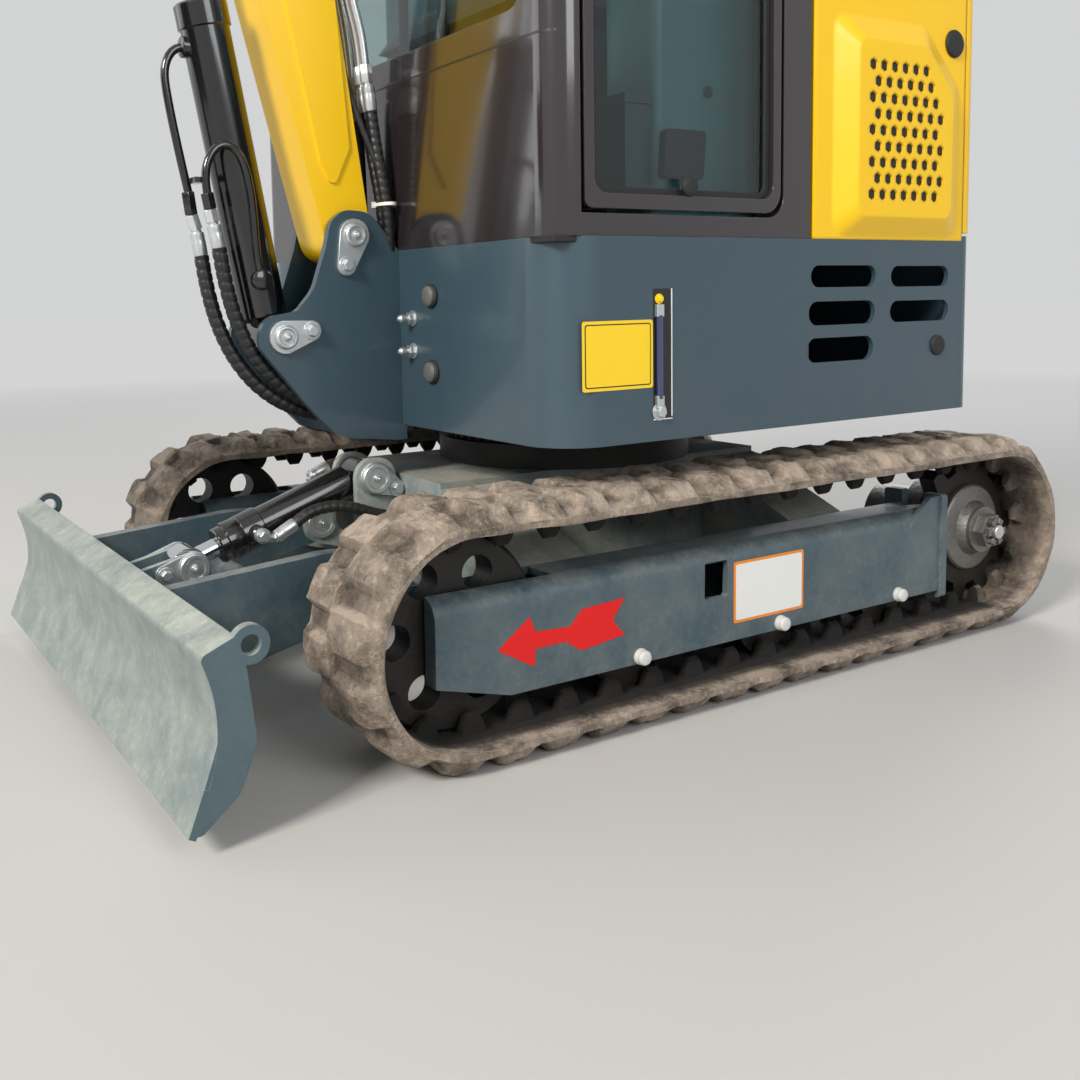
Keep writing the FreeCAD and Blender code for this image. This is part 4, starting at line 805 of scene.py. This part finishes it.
def blade_filler():
    """Eases the step from the blade's curve to its cutting edge."""
    half = 489.7                     # to the blade's end
    top, bend, foot = (-758.7, 118), (-759.1, 113.6), (-774.4, 73.5)     # (y, z) on its front
    front = []
    for k in range(9):
        t = k / 8
        front.append([a * (1 - t) ** 2 + b * 2 * t * (1 - t) + c * t * t for a, b, c in zip(top, bend, foot)])
    shape = Shape()
    shape.plate(-half, front + [(-764, 72), (-752, 100), (-754, 118)], 2 * half)
    piece("blade_filler", shape, BLADE_SLATE, "blade", bevel=0, smooth=30)


blade_filler()


def roller_bolts():
    """Domed axle bolts of the rollers, on the outer face of the track frames."""
    shape = Shape()
    for sign in (1, -1):
        for y in ROLLER_YS:
            base = at(sign * FRAME_SIDE, y, ROLLER_Z)
            shape.lathe(base, X * sign, [(0, 11), (4, 11), (4.5, 10), (11, 10), (13, 8.5), (14, 5)], 24)
    piece("roller_axle_bolts", shape, BOLT_WHITE, "undercarriage", bevel=0.4)


roller_bolts()


def hubs():
    """Crown of the nut on each hub, with the end of its shaft and marks of its split pin."""
    crown, shaft = Shape(), Shape()
    for sign in (1, -1):
        for k in range(6):
            a = math.radians(60 * k)
            corners = [(HUB_Y + r * math.cos(a + turn), HUB_Z + r * math.sin(a + turn))
                       for r, turn in ((14, -0.36), (23, -0.26), (23, 0.26), (14, 0.36))]
            crown.plate(sign * HUB_SIDE, corners, sign * 9)
        shaft.lathe(at(sign * (HUB_SIDE + 7), HUB_Y, HUB_Z), X * sign, [(0, 11.5), (5, 11.5), (6.5, 10)], 24)
        shaft.lathe(at(sign * (HUB_SIDE + 4), HUB_Y - 26, HUB_Z - 3), Y, [(0, 2), (0.052, 2)], 10)
        shaft.lathe(at(sign * (HUB_SIDE + 4), HUB_Y + 24, HUB_Z - 3), Z, [(0, 1.8), (0.02, 1.8)], 10)
    piece("hub_crowns", crown, CASTING, "undercarriage", bevel=0.8)
    piece("hub_shafts", shaft, ZINC, "undercarriage", bevel=0.2)


hubs()


def plate_layer(name, x, box, inset, r, depth, finish, body):
    """One layer of a blank plate on a face at x, inset from the plate's (y, z, y, z)."""
    y0, z0, y1, z1 = box
    shape = Shape()
    shape.plate(x, rounded_box(y0 + inset, z0 + inset, y1 - inset, z1 - inset, r), depth)
    piece(name, shape, finish, body, bevel=0)


def arrow_and_plates():
    """Direction arrow and blank plate on the left track frame, and blank fuel plate on the skirt."""
    arrow = [(-394, 136), (-346, 170), (-338, 150), (-284, 147), (-266, 166), (-196, 170), (-216, 143),
             (-196, 121), (-268, 113), (-292, 129), (-338, 128), (-340, 106)]
    shape = Shape()
    shape.plate(FRAME_SIDE, arrow, 0.5)
    piece("travel_arrow", shape, RED, "undercarriage", bevel=0)
    box = (0, 101, 140, 188)
    plate_layer("frame_plate", FRAME_SIDE, box, 0, 4, 0.5, ORANGE, "undercarriage")
    plate_layer("frame_plate_face", FRAME_SIDE, box, 4, 4, 0.8, WHITE, "undercarriage")
    box = (-269, 441, -155, 528)
    plate_layer("fuel_plate", SKIRT_SIDE, box, 0, 4, 0.5, PLATE_YELLOW, "upper")
    plate_layer("fuel_plate_face", SKIRT_SIDE, box, 4, 4, 0.8, PLATE_BLACK, "upper")
    plate_layer("fuel_plate_middle", SKIRT_SIDE, box, 5.5, 3, 1.1, PLATE_YELLOW, "upper")


arrow_and_plates()


def plugs():
    """Rubber plugs in the skirt, the engine cover and the front, and grease nipples beside them."""
    rubber, worn, silver = Shape(), Shape(), Shape()
    for x, y, z, r in ((SKIRT_SIDE, 425, 473, 14), (SKIRT_SIDE, 452, 931, 19), (455, -87, 698, 11)):
        rubber.lathe(at(x, y, z), X, [(0, r + 2), (2, r + 2), (4.5, r), (5.5, r * 0.7), (5.2, r * 0.35)], 32)
    for z in (564, 455):
        rubber.lathe(at(160, PLATFORM_FRONT, z), -Y, [(0, 17), (3, 17), (4, 16)], 32)
        worn.lathe(at(160, PLATFORM_FRONT - 3, z), -Y, [(0, 14.5), (5, 14.5), (7.5, 12.5), (9, 8),
                                                        (9.4, 3)], 32)
    piece("front_plugs", worn, WORN_RUBBER, "upper", bevel=0)
    for z in (532, 484):
        silver.lathe(at(105, PLATFORM_FRONT, z), -Y, [(0, 12), (3, 12)], 24)
        silver.lathe(at(105, PLATFORM_FRONT - 3, z), -Y, [(0, 9), (8, 9)], 6)
        silver.lathe(at(105, PLATFORM_FRONT - 11, z), -Y, [(0, 4), (6, 4), (6, 6), (12, 6), (16, 3)], 16)
    piece("rubber_plugs", rubber, BLACK_RUBBER, "upper", bevel=0.3)
    piece("grease_nipples", silver, ZINC, "upper", bevel=0.3)


plugs()


def level_gauge():
    """Fuel level tube in its dark slit in the left skirt, with a white strip along the slit's rear and lower
    edges.
    """
    y0, y1, z0, z1 = -154, -124, 400, 567
    inner, face = SKIRT_SIDE - 0.5, SKIRT_SIDE + 0.4
    dark, rim, carrier, lower, upper, clear = (Shape() for _ in range(6))
    dark.block((inner, y0, z0), (face, y1, z1))
    rim.block((inner, y1, z0 + 2), (SKIRT_SIDE + 1, y1 + 1.6, z1))
    rim.block((inner, y0, z0 - 1.6), (SKIRT_SIDE + 1, y1 + 1.6, z0))
    for z in (z0 + 14, z1 - 36):
        carrier.block((SKIRT_SIDE, y0 + 2, z), (SKIRT_SIDE + 6, y0 + 14, z + 16))
    lower.hex_head(at(face, y0 + 9, z0 + 9), X, 8, 6)
    upper.hex_head(at(face, y0 + 9, z1 - 13), X, 4.5, 4)
    clear.lathe(at(SKIRT_SIDE + 3, y0 + 8, z0 + 26), Z, [(0, 4.5), (z1 - z0 - 60, 4.5)], 16)
    piece("gauge_slit", dark, PLATE_BLACK, "upper", bevel=0)
    piece("gauge_slit_edge", rim, WHITE, "upper", bevel=0)
    piece("gauge_carriers", carrier, ZINC, "upper", bevel=1)
    piece("gauge_lower_bolt", lower, ZINC, "upper", bevel=0.3)
    piece("gauge_upper_bolt", upper, PLATE_YELLOW, "upper", bevel=0.3)
    piece("gauge_tube", clear, GAUGE_BLUE, "upper", bevel=0)


level_gauge()


def vent_shadow_sheet():
    """Dark sheet just behind the vents of the left engine cover, where a mesh sits; its darkness is painted
    shadow that makes the holes look deep.
    """
    x = 474.4                        # just inside the cover's wall
    shape = Shape()
    shape.plate(x, [(234, 686), (412, 686), (412, 852), (388, 890), (234, 890)], 0.6)
    piece("vent_shadow_sheet", shape, VENT_SHADOW, "upper", bevel=0)


vent_shadow_sheet()


# Pipes, fittings and hoses

NUT = [(0, 9), (0.05, 10), (0.95, 10), (1, 9)]
FERRULE = [(0, 7), (0.1, 7), (0.12, 9.5), (0.3, 10), (0.35, 9.4), (0.42, 10), (0.9, 10), (1, 9)]
OUTER_PIPES, INNER_PIPES = (50, 33), (4, -12)    # x of the four pipes on the boom's back


def line_at(x, *places):
    """Points (x, y, z) of a pipe that lies across X, from its (y, z) places."""
    return [(x, y, z) for y, z in places]


def sleeve(shape, x, start, stop, profile, count=20):
    """Revolve a profile, given as (part of the way, radius), between two (y, z) places."""
    a, b = at(x, *start), at(x, *stop)
    length = (b - a).length * 1000
    shape.lathe(a, b - a, [(part * length, r) for part, r in profile], count)


def hose_end(shape, x, start, nut_end, stop):
    """A hose's nut and the ferrule behind it, through three (y, z) places."""
    sleeve(shape, x, start, nut_end, NUT, 6)
    sleeve(shape, x, nut_end, stop, FERRULE)


def boom_ram_pipes():
    """Two pipes on the front of the boom cylinder, and the hoses below them."""
    long_pipe = line_at(0, (-598, 914), (-612, 913), (-624, 900), (-631, 878), (-627, 848), (-622, 815),
                        (-612, 760), (-603, 716))
    bent_pipe = line_at(36, (-514, 600), (-520, 630), (-521, 690), (-528, 742), (-540, 772), (-558, 782),
                        (-576, 774), (-589, 750), (-590, 726), (-587, 706))
    tube("boom_ram_long_pipe", long_pipe, 6, BLACK_PAINT, "boom_barrel")
    tube("boom_ram_bent_pipe", bent_pipe, 6, BLACK_PAINT, "boom_barrel")
    black, silver = Shape(), Shape()
    for base, axis in ((at(0, -592, 914), -Y), (at(30, -513, 592), X)):
        black.lathe(base, axis, [(0, 15), (12, 15), (14, 12)], 24)
    black.block((8, -604, 726), (34, -590, 734))
    sleeve(black, 0, (-604, 716), (-600, 684), NUT, 6)
    sleeve(black, 34, (-588, 712), (-584, 690), NUT, 6)
    hose_end(silver, 0, (-600, 684), (-594, 664), (-588, 626))
    hose_end(silver, 32, (-584, 690), (-580, 672), (-573, 636))
    piece("boom_ram_pipe_nuts", black, BLACK_PAINT, "boom_barrel", bevel=0.4)
    piece("boom_ram_hose_ends", silver, ZINC, "boom_barrel", bevel=0.3)
    routes = {
        "front": [(0, -588, 627), (2, -584, 590), (6, -575, 540), (14, -556, 486), (22, -524, 440),
                  (26, -480, 408), (24, -430, 392), (18, -380, 384), (12, -335, 380), (10, -312, 380)],
        "rear": [(32, -573, 637), (32, -568, 600), (33, -557, 545), (36, -536, 492), (40, -504, 448),
                 (40, -464, 418), (38, -420, 404), (34, -375, 400), (30, -335, 398), (30, -312, 398)]}
    for name, route in routes.items():
        tube("boom_ram_hose_" + name, route, 10.5, HOSE, "upper", wrap=14,
             joined=("boom_barrel", "upper", (20, -575, 560), (20, -490, 410)))


boom_ram_pipes()


def boom_back_pipes():
    """Four hard pipes down the boom's back, with their hoses and a loom into the platform."""
    silver = Shape()
    runs = []
    for x in OUTER_PIPES:
        pipe = [(-424, 1300), (-404, 1205), (-371, 1060), (-365, 998), (-357, 972), (-350, 945),
                (-346, 904)]
        hose = [(x + dx, y, z) for dx, y, z in (
            (0, -338, 838), (4, -334, 790), (10, -328, 740), (14, -322, 695), (11, -319, 658), (4, -314, 626),
            (-2, -306, 607), (-4, -288, 598))]
        runs.append((x, pipe, (-343, 878), (-338, 838), hose, 12))
    for x in INNER_PIPES:
        pipe = [(-470, 1290), (-416, 1262), (-402, 1200), (-368, 1060), (-359, 1000), (-349, 955),
                (-344, 893)]
        hose = line_at(x, (-338, 829), (-336, 780), (-335, 735), (-334, 690), (-333, 650), (-324, 622),
                       (-310, 604), (-288, 592))
        runs.append((x, pipe, (-342, 868), (-338, 829), hose, 0))
    for k, (x, pipe, nut_end, stop, hose, guard) in enumerate(runs):
        tube("boom_pipe_%d" % k, line_at(x, *pipe), 6.5, PIPE, "boom")
        hose_end(silver, x, pipe[-1], nut_end, stop)
        tube("boom_hose_%d" % k, hose, 9, HOSE, "boom", wrap=guard,
             joined=("boom", "upper", (x, -330, 800), (x, -318, 660)))
    loom = [(20, -480, 1268), (24, -432, 1240), (28, -420, 1200), (30, -392, 1060), (31, -389, 996),
            (33, -384, 938), (38, -371, 874), (48, -350, 807), (60, -330, 750), (64, -320, 700),
            (58, -317, 662), (46, -314, 632), (42, -304, 608), (40, -288, 600)]
    tube("boom_loom", loom, 5, BLACK_RUBBER, "boom", wrap=5,
         joined=("boom", "upper", (47, -330, 800), (47, -318, 660)))
    piece("boom_hose_ends", silver, ZINC, "boom", bevel=0.3)


boom_back_pipes()


def hose_tie():
    """The plastic tie round the hoses in front of the cab."""
    x, y, wide, deep = 55, -321, 24, 12          # its middle and its half widths
    shape = Shape()
    loops = []
    turns = [math.pi * k / 12 for k in range(24)]
    for grow, z in ((0, 699), (1.4, 699), (1.4, 704), (0, 704)):
        loops.append([at(x + (wide + grow) * math.cos(a), y + (deep + grow) * math.sin(a), z) for a in turns])
    shape.loft(loops, closed=True)
    shape.block((40, -337, 697), (47, -332, 706))
    piece("hose_tie", shape, WHITE, "upper", bevel=0.2)


hose_tie()


def ram_pipes(ram, parent, base, eye, barrel, r, ends, anchors):
    """Ports, a long pipe and two hoses of a cylinder. ends is where its hoses leave it, as
    (along, off) from its base pin, and anchors are the hoses' further (y, z)."""
    ahead = Vector((eye[0] - base[0], eye[1] - base[1])).normalized()
    off = Vector((ahead.y, -ahead.x))
    far_port, near_port, pipe_off = barrel - 22, 62, r + 15

    def spot(along, out):
        """The (y, z) along the cylinder from its base pin, and out from its axis."""
        return base[0] + ahead.x * along + off.x * out, base[1] + ahead.y * along + off.y * out

    black, silver = Shape(), Shape()
    tube(ram + "_pipe", line_at(12, spot(far_port, r - 2), spot(far_port, r + 10),
                                spot(barrel - 32, pipe_off), spot(barrel - 50, pipe_off),
                                spot(240, pipe_off), spot(128, pipe_off)), 5.5, BLACK_PAINT, ram)
    for along in (near_port, far_port):
        out = at(0, *spot(along, r)) - at(0, *spot(along, 0))
        black.lathe(at(0, *spot(along, r - 4)), out, [(0, 14), (14, 14), (16, 12)], 24)
    silver.lathe(at(-16, *spot(near_port, r + 6)), X, [(0, 9), (26, 9)], 6)
    for x, nut, crimp in ((12, 128, 110), (-14, 62, 44)):
        hose_end(silver, x, spot(nut, pipe_off), spot(crimp, pipe_off), spot(crimp - 34, pipe_off))
        hose = [spot(crimp - 33, pipe_off)] + [spot(*end) for end in ends] + anchors
        last = OUTER_PIPES[0 if x > 0 else 1]
        points = [(x + (last - x) * min(1.0, k / 4), *yz) for k, yz in enumerate(hose)]
        tube(ram + "_hose_%d" % (x > 0), points, 8.5, HOSE, parent, wrap=12,
             joined=(ram, parent, points[0], points[-2]))
    piece(ram + "_ports", black, BLACK_PAINT, ram, bevel=0.4)
    piece(ram + "_hose_ends", silver, ZINC, ram, bevel=0.3)


def arm_hose_ends():
    """Ends of the arm cylinder's hoses, on the boom's two outer pipes."""
    shape = Shape()
    for x in OUTER_PIPES:
        hose_end(shape, x, (-424, 1300), (-428, 1318), (-439, 1352))
    piece("arm_hose_ends", shape, ZINC, "boom", bevel=0.3)


ram_pipes("arm_barrel", "boom", ARM_RAM, ARM_EYE, 370, 32, [(2, 56), (-32, 66), (-72, 62)],
          [(-433, 1440), (-436, 1395), (-439, 1352)])
ram_pipes("bucket_barrel", "arm", BUCKET_RAM, KNEE, 500, 28, [(0, 54), (-40, 52), (-72, 24)],
          [arm_point(-80, -92), arm_point(-50, -88), arm_point(-20, -84)])
arm_hose_ends()


def blade_ram_parts():
    """Gland of the blade cylinder, and a banjo bolt with its hose on each side."""
    black, silver = Shape(), Shape()
    spots = {"near": (1, (-532, 226), (-516, 220), (-482, 238),
                      [(-458, 254), (-420, 258), (-386, 251), (-350, 236), (-326, 230), (-303, 228)]),
             "far": (-1, (-404, 270), (-412, 286), (-380, 300),
                     [(-366, 304), (-350, 303), (-334, 296), (-318, 284), (-303, 272)])}
    for name, (sign, port, start, stop, hose) in spots.items():
        out = X * sign
        x = sign * 52
        black.lathe(at(sign * 24, *port), out, [(0, 13), (20, 13), (22, 11)], 24)
        silver.lathe(at(sign * 46, *port), out, [(0, 11), (11, 11)], 24)
        silver.hex_head(at(sign * 57, *port), out, 8.5, 7, washer=False)
        sleeve(silver, x, port, start, [(0, 6), (1, 6)])
        sleeve(silver, x, start, stop, FERRULE)
        tube("blade_hose_" + name, line_at(x, stop, *hose), 9, HOSE, "undercarriage", wrap=12,
             joined=("blade_barrel", "undercarriage", (x, *hose[0]), (x, *hose[-2])))
    ahead = Vector((0, BLADE_EYE[0] - BLADE_RAM[0], BLADE_EYE[1] - BLADE_RAM[1])).normalized()
    gland_start = 0.213              # metres from the base pin
    gland = [(0, 14.6), (0, 29.4), (1, 30), (23, 30), (24, 27), (35, 27), (37, 25), (37, 14.6)]
    black.lathe(at(0, *BLADE_RAM) + ahead * gland_start, ahead, gland, 36, closed=True)
    piece("blade_ram_ports", black, BLACK_PAINT, "blade_barrel", bevel=0.5)
    piece("blade_ram_fittings", silver, ZINC, "blade_barrel", bevel=0.3)


blade_ram_parts()


# Cab details

def window_seal(name, x, outline, r, body, width=9, thick=5):
    """A rubber strip round a pane that lies across X."""
    shape = Shape()
    outer = rounded_outline(outline, r, 6)
    inner = []
    for k, (y, z) in enumerate(outer):
        along = (Vector(outer[(k + 1) % len(outer)]) - Vector(outer[k - 1])).normalized()
        inner.append((y - along.y * width, z + along.x * width))
    section = ((x, outer), (x + thick, outer), (x + thick, inner), (x, inner))
    shape.loft([[at(side, y, z) for y, z in line] for side, line in section], closed=True)
    piece(name, shape, BLACK_RUBBER, body, bevel=1)


window_seal("door_window_seal", 442, [(-243, 686), (68, 686), (68, 1195), (335, 1345), (335, 2064),
                                      (-243, 2064)], 22, "door")
window_seal("side_window_seal", -446, [(-220, 960), (90, 960), (90, 1220), (400, 1260), (400, 2090),
                                       (-220, 2090)], 38, "upper")


def cab_details():
    """Rubber mount under the cab's front corner, and the door's handle."""
    mount, grip = Shape(), Shape()
    mount.block((330, -304, 625), (452, -244, 634))
    piece("cab_mount", mount, BLACK_RUBBER, "upper", bevel=2)
    grip.plate(455, rounded_box(-236, 1180, -206, 1320, 8), 8)
    grip.plate(463, rounded_box(-230, 1196, -212, 1304, 6), 3)
    piece("door_handle", grip, PLASTIC, "door", bevel=1.5)


cab_details()


def windshield_seam():
    """The gap under the windshield's lower frame, drawn along the cab's front."""
    half, low, high = 446, 875.5, 878.5
    shape = Shape()
    rows = []
    for k in range(121):
        x = -half + 2 * half * k / 120
        place = skin_point("cab_front", at(x, -500, (low + high) / 2), Y)
        if place:
            rows.append([shape.mesh.verts.new((x / 1000, place.y + deep, z / 1000)) for deep, z in
                         ((0.001, low), (-0.0004, low), (-0.0004, high), (0.001, high))])
    for a, b in zip(rows, rows[1:]):
        shape.bridge(a, b)
    piece("windshield_seam", shape, PLATE_BLACK, "upper", bevel=0)


windshield_seam()


# Cab inside

def pad_shell(mesh, place, across, up, seams):
    """A crowned closed pad: place(u, v, out) gives its points, u and v from -1 to 1. Each seam is
    (its place on v, its depth)."""
    front = []
    for face in (1, -1):
        grid = []
        for i in range(across + 1):
            column = []
            for j in range(up + 1):
                if face < 0 and (i in (0, across) or j in (0, up)):
                    column.append(front[i][j])
                    continue
                u, v = 2 * i / across - 1, 2 * j / up - 1
                swell = (1 - abs(u) ** 5) * (1 - abs(v) ** 5)
                if face > 0:
                    swell = 0.15 * swell ** 0.25 + 0.85 * swell ** 0.6
                    swell -= sum(depth * math.exp(-((v - c) / 0.035) ** 2) for c, depth in seams) * swell
                column.append(mesh.verts.new(place(u, v, face * swell)))
            grid.append(column)
        front = front or grid
        for i in range(across):
            for j in range(up):
                mesh.faces.new((grid[i][j], grid[i + 1][j], grid[i + 1][j + 1], grid[i][j + 1]))


def seat_pads():
    """Cushion and back of the seat, with sewn channels, in place of the plain block."""
    shape = Shape()

    def cushion(u, v, out):
        """A point of the cushion, thicker above than below."""
        x = 219 * u * (1 - 0.04 * v * v)
        return at(x, -42 + 146 * v * (1 - 0.03 * u * u), 982 + (56 if out > 0 else 33.5) * out)

    def back(u, v, out):
        """A point of the back, which leans more and gets narrower towards its top."""
        part = (v + 1) / 2
        z = 1030 + 496 * part
        lean = 60 + 10 * part + 66 * max(0.0, part - 0.3) ** 1.1
        x = 209 * u * (1 - 0.16 * ramp(part, 0.5, 1) * (1 - 0.2 * u * u))
        return at(x, lean - (46 if out > 0 else 32) * out, z)

    pad_shell(shape.mesh, cushion, 44, 30, ((-0.5, 0.16), (0.0, 0.16), (0.5, 0.16)))
    pad_shell(shape.mesh, back, 40, 46, ((-0.45, 0.16), (-0.1, 0.16), (0.25, 0.16), (0.6, 0.16)))
    pads = piece("seat_pads", shape, SEAT_VINYL, "upper", bevel=0, smooth=60)
    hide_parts("seat")


seat_pads()


def engine_bay():
    """Air filter, muffler, fan, oil filter and an air hose on the engine, seen under the open hood."""
    dark, bright, cover = Shape(), Shape(), Shape()
    cover.block((-120, 215, 740), (100, 330, 772))
    for x in (-90, -30, 30, 75):
        bright.hex_head(at(x, 272, 772), Z, 9, 8)
    air_filter = [(0, 40), (4, 52), (60, 52), (64, 55), (70, 55), (74, 52), (190, 52), (196, 44)]
    dark.lathe(at(-150, 385, 800), X, air_filter, 40)
    bright.lathe(at(-130, 250, 835), X, [(0, 30), (6, 42), (200, 42), (206, 30)], 40)
    bright.lathe(at(-60, 250, 772), Z, [(0, 16), (0.04, 16)], 24)
    dark.lathe(at(172, 315, 560), X, [(0, 118), (24, 118), (24, 112), (12, 108)], 48)
    dark.lathe(at(184, 315, 560), X, [(0, 30), (22, 30), (26, 24)], 24)
    bright.lathe(at(-60, 439, 520), Y, [(0, 34), (16, 34), (18, 31)], 32)
    bright.lathe(at(60, 439, 480), Y, [(0, 12), (0.014, 12)], 24)
    piece("engine_dark_parts", dark, BLACK_PAINT, "upper", bevel=0.8)
    piece("engine_bright_parts", bright, CASTING, "upper", bevel=0.6)
    piece("engine_rocker_cover", cover, SLATE, "upper", bevel=8)
    route = [(40, 385, 800), (90, 385, 800), (130, 360, 790), (120, 310, 750), (100, 290, 735)]
    tube("engine_air_hose", route, 17, BLACK_RUBBER, "upper", wrap=9)


engine_bay()


def hood_latch():
    """Paddle latch and lock at the foot of the rear hood."""
    z = 700
    y = skin_point("rear_hood", at(0, 900, z), -Y).y * 1000 - Y_SHIFT
    paddle, lock = Shape(), Shape()
    outline = rounded_box(-42, -16, 42, 16, 8)
    paddle.prism([at(px, y - 3, z + pz) for px, pz in outline], Y * 0.007)
    paddle.prism([at(px * 0.82, y + 3, z + pz * 0.7) for px, pz in outline], Y * 0.008)
    lock.lathe(at(30, y + 4, z), Y, [(0, 7), (8.5, 7), (9, 6)], 20)
    piece("hood_latch", paddle, PLASTIC, "rear_hood", bevel=1)
    piece("hood_lock", lock, ZINC, "rear_hood", bevel=0.3)


hood_latch()


def cab_inside():
    """Painted panel behind the seat, box before the left console, its pocket, knobs and boots."""
    wall, console_side = 111, 380    # y of the wall behind the seat, x of the console's outer face
    panel = Shape()
    panel.block((-415, wall, 652), (415, wall + 3.6, 1148))
    for x in (-388, -200, 200, 388):
        for z in (690, 1000):
            panel.hex_head(at(x, wall, z), -Y, 7, 5)
    panel.block((300, -126, 700), (372, -81, 815))
    panel.block((297, -129, 815), (375, -80.5, 828))
    panel.hex_head(at(console_side, 16, 838), X, 6, 4)
    piece("bulkhead_panel", panel, SLATE, "upper", bevel=0.6)
    pocket = Shape()
    pocket.plate(console_side, rounded_outline([(-78, 716), (-4, 716), (2, 782), (-72, 782)], 8), 14)
    piece("console_pocket", pocket, PLASTIC, "upper", bevel=2)
    knobs, boots = Shape(), Shape()
    for x in (-60, 60):
        knobs.lathe(at(x, -215, 1240), Z, [(0, 12), (10, 16), (36, 17), (50, 13), (52, 6)], 24)
        boots.lathe(at(x, -215, 648), Z, [(0, 32), (6, 32), (10, 24), (16, 26), (22, 19), (28, 21),
                                          (36, 12)], 24)
        knobs.block((x - 34, -250, 654), (x + 34, -226, 662))
    for x in (325, -325):
        boots.lathe(at(x, -50, 1127), Z, [(0, 34), (8, 34), (14, 26), (22, 28), (30, 20), (38, 22),
                                          (50, 11)], 24)
    piece("lever_knobs", knobs, PLASTIC, "upper", bevel=1)
    piece("lever_boots", boots, BLACK_RUBBER, "upper", bevel=0.6)


cab_inside()


# Floor, light and backdrop

FLOOR_HALF = 30                      # metres from the middle to the floor's edge
FADE_START, FADE_END = 2.2, 7.0      # metres from the middle, where the floor turns to glow


def studio_floor():
    """A pale floor that fades into the backdrop."""
    mesh = bpy.data.meshes.new("floor")
    corners = [(x * FLOOR_HALF, y * FLOOR_HALF, 0) for x, y in ((-1, -1), (1, -1), (1, 1), (-1, 1))]
    mesh.from_pydata(corners, [], [(0, 1, 2, 3)])
    floor = new_object("floor", mesh)
    mat = bpy.data.materials.new("pale_floor")
    mat.use_nodes = True
    t = Tree(mat.node_tree)
    shader = mat.node_tree.nodes["Principled BSDF"]
    t.feed(shader, {"Base Color": srgb(204, 202, 198), "Roughness": 0.9})
    away = t.add("ShaderNodeVectorMath", {0: t.place()}, operation="LENGTH").outputs["Value"]
    glow = t.add("ShaderNodeEmission", {"Color": (0.66, 0.66, 0.665, 1)})
    faded = t.add("ShaderNodeMixShader", {0: t.span(away, FADE_START, FADE_END), 1: shader.outputs[0],
                                          2: glow.outputs[0]})
    out = next(n for n in mat.node_tree.nodes if n.type == "OUTPUT_MATERIAL")
    t.feed(out, {"Surface": faded.outputs[0]})
    mesh.materials.append(mat)


def backdrop():
    """A bright backdrop for what looks at it, and a dimmer, cooler light for what it lights."""
    world = bpy.data.worlds.new("studio")
    bpy.context.scene.world = world
    world.use_nodes = True
    world.node_tree.nodes.clear()
    t = Tree(world.node_tree)
    path = t.add("ShaderNodeLightPath").outputs
    seen = t.math("MAXIMUM", path["Is Camera Ray"], path["Is Transmission Ray"])
    seen = t.math("MAXIMUM", seen, path["Is Glossy Ray"])
    shade = t.mix(seen, (0.62, 0.66, 0.72, 1), (1.3, 1.31, 1.32, 1))
    light = t.add("ShaderNodeBackground", {"Color": shade, "Strength": 0.5})
    t.add("ShaderNodeOutputWorld", {"Surface": light.outputs[0]})


def area_light(name, place, size, power):
    """A square light that shines down from a place in metres."""
    lamp = bpy.data.lights.new(name, "AREA")
    lamp.size = size
    lamp.energy = power
    obj = new_object(name, lamp)
    obj.location = place
    return obj


def lights():
    """Four studio lights, and a small one under the cab's roof that isn't seen itself."""
    for name, place, target, size, power, colour in (
            ("key", (2.6, -5.6, 4.2), (0, 0, 0.6), 1.6, 480, (1.0, 0.96, 0.9)),
            ("fill", (-3.5, -4.5, 3.0), (0, 0, 0.8), 4.0, 80, (0.9, 0.95, 1.0)),
            ("back", (-3.0, 4.6, 4.2), (0, 0, 1.0), 3.0, 150, (1.0, 1.0, 1.0)),
            ("side", (5.2, 0.6, 3.0), (0, 0, 0.8), 2.5, 90, (0.95, 0.97, 1.0))):
        obj = area_light(name, place, size, power)
        obj.data.color = colour
        obj.rotation_euler = (Vector(target) - Vector(place)).to_track_quat("-Z", "Y").to_euler()
    inside = area_light("cab_light", at(0, -60, 2150), 0.5, 9)
    inside.visible_camera = inside.visible_transmission = inside.visible_glossy = False


studio_floor()
backdrop()
lights()
bpy.context.scene.view_settings.view_transform = "Standard"
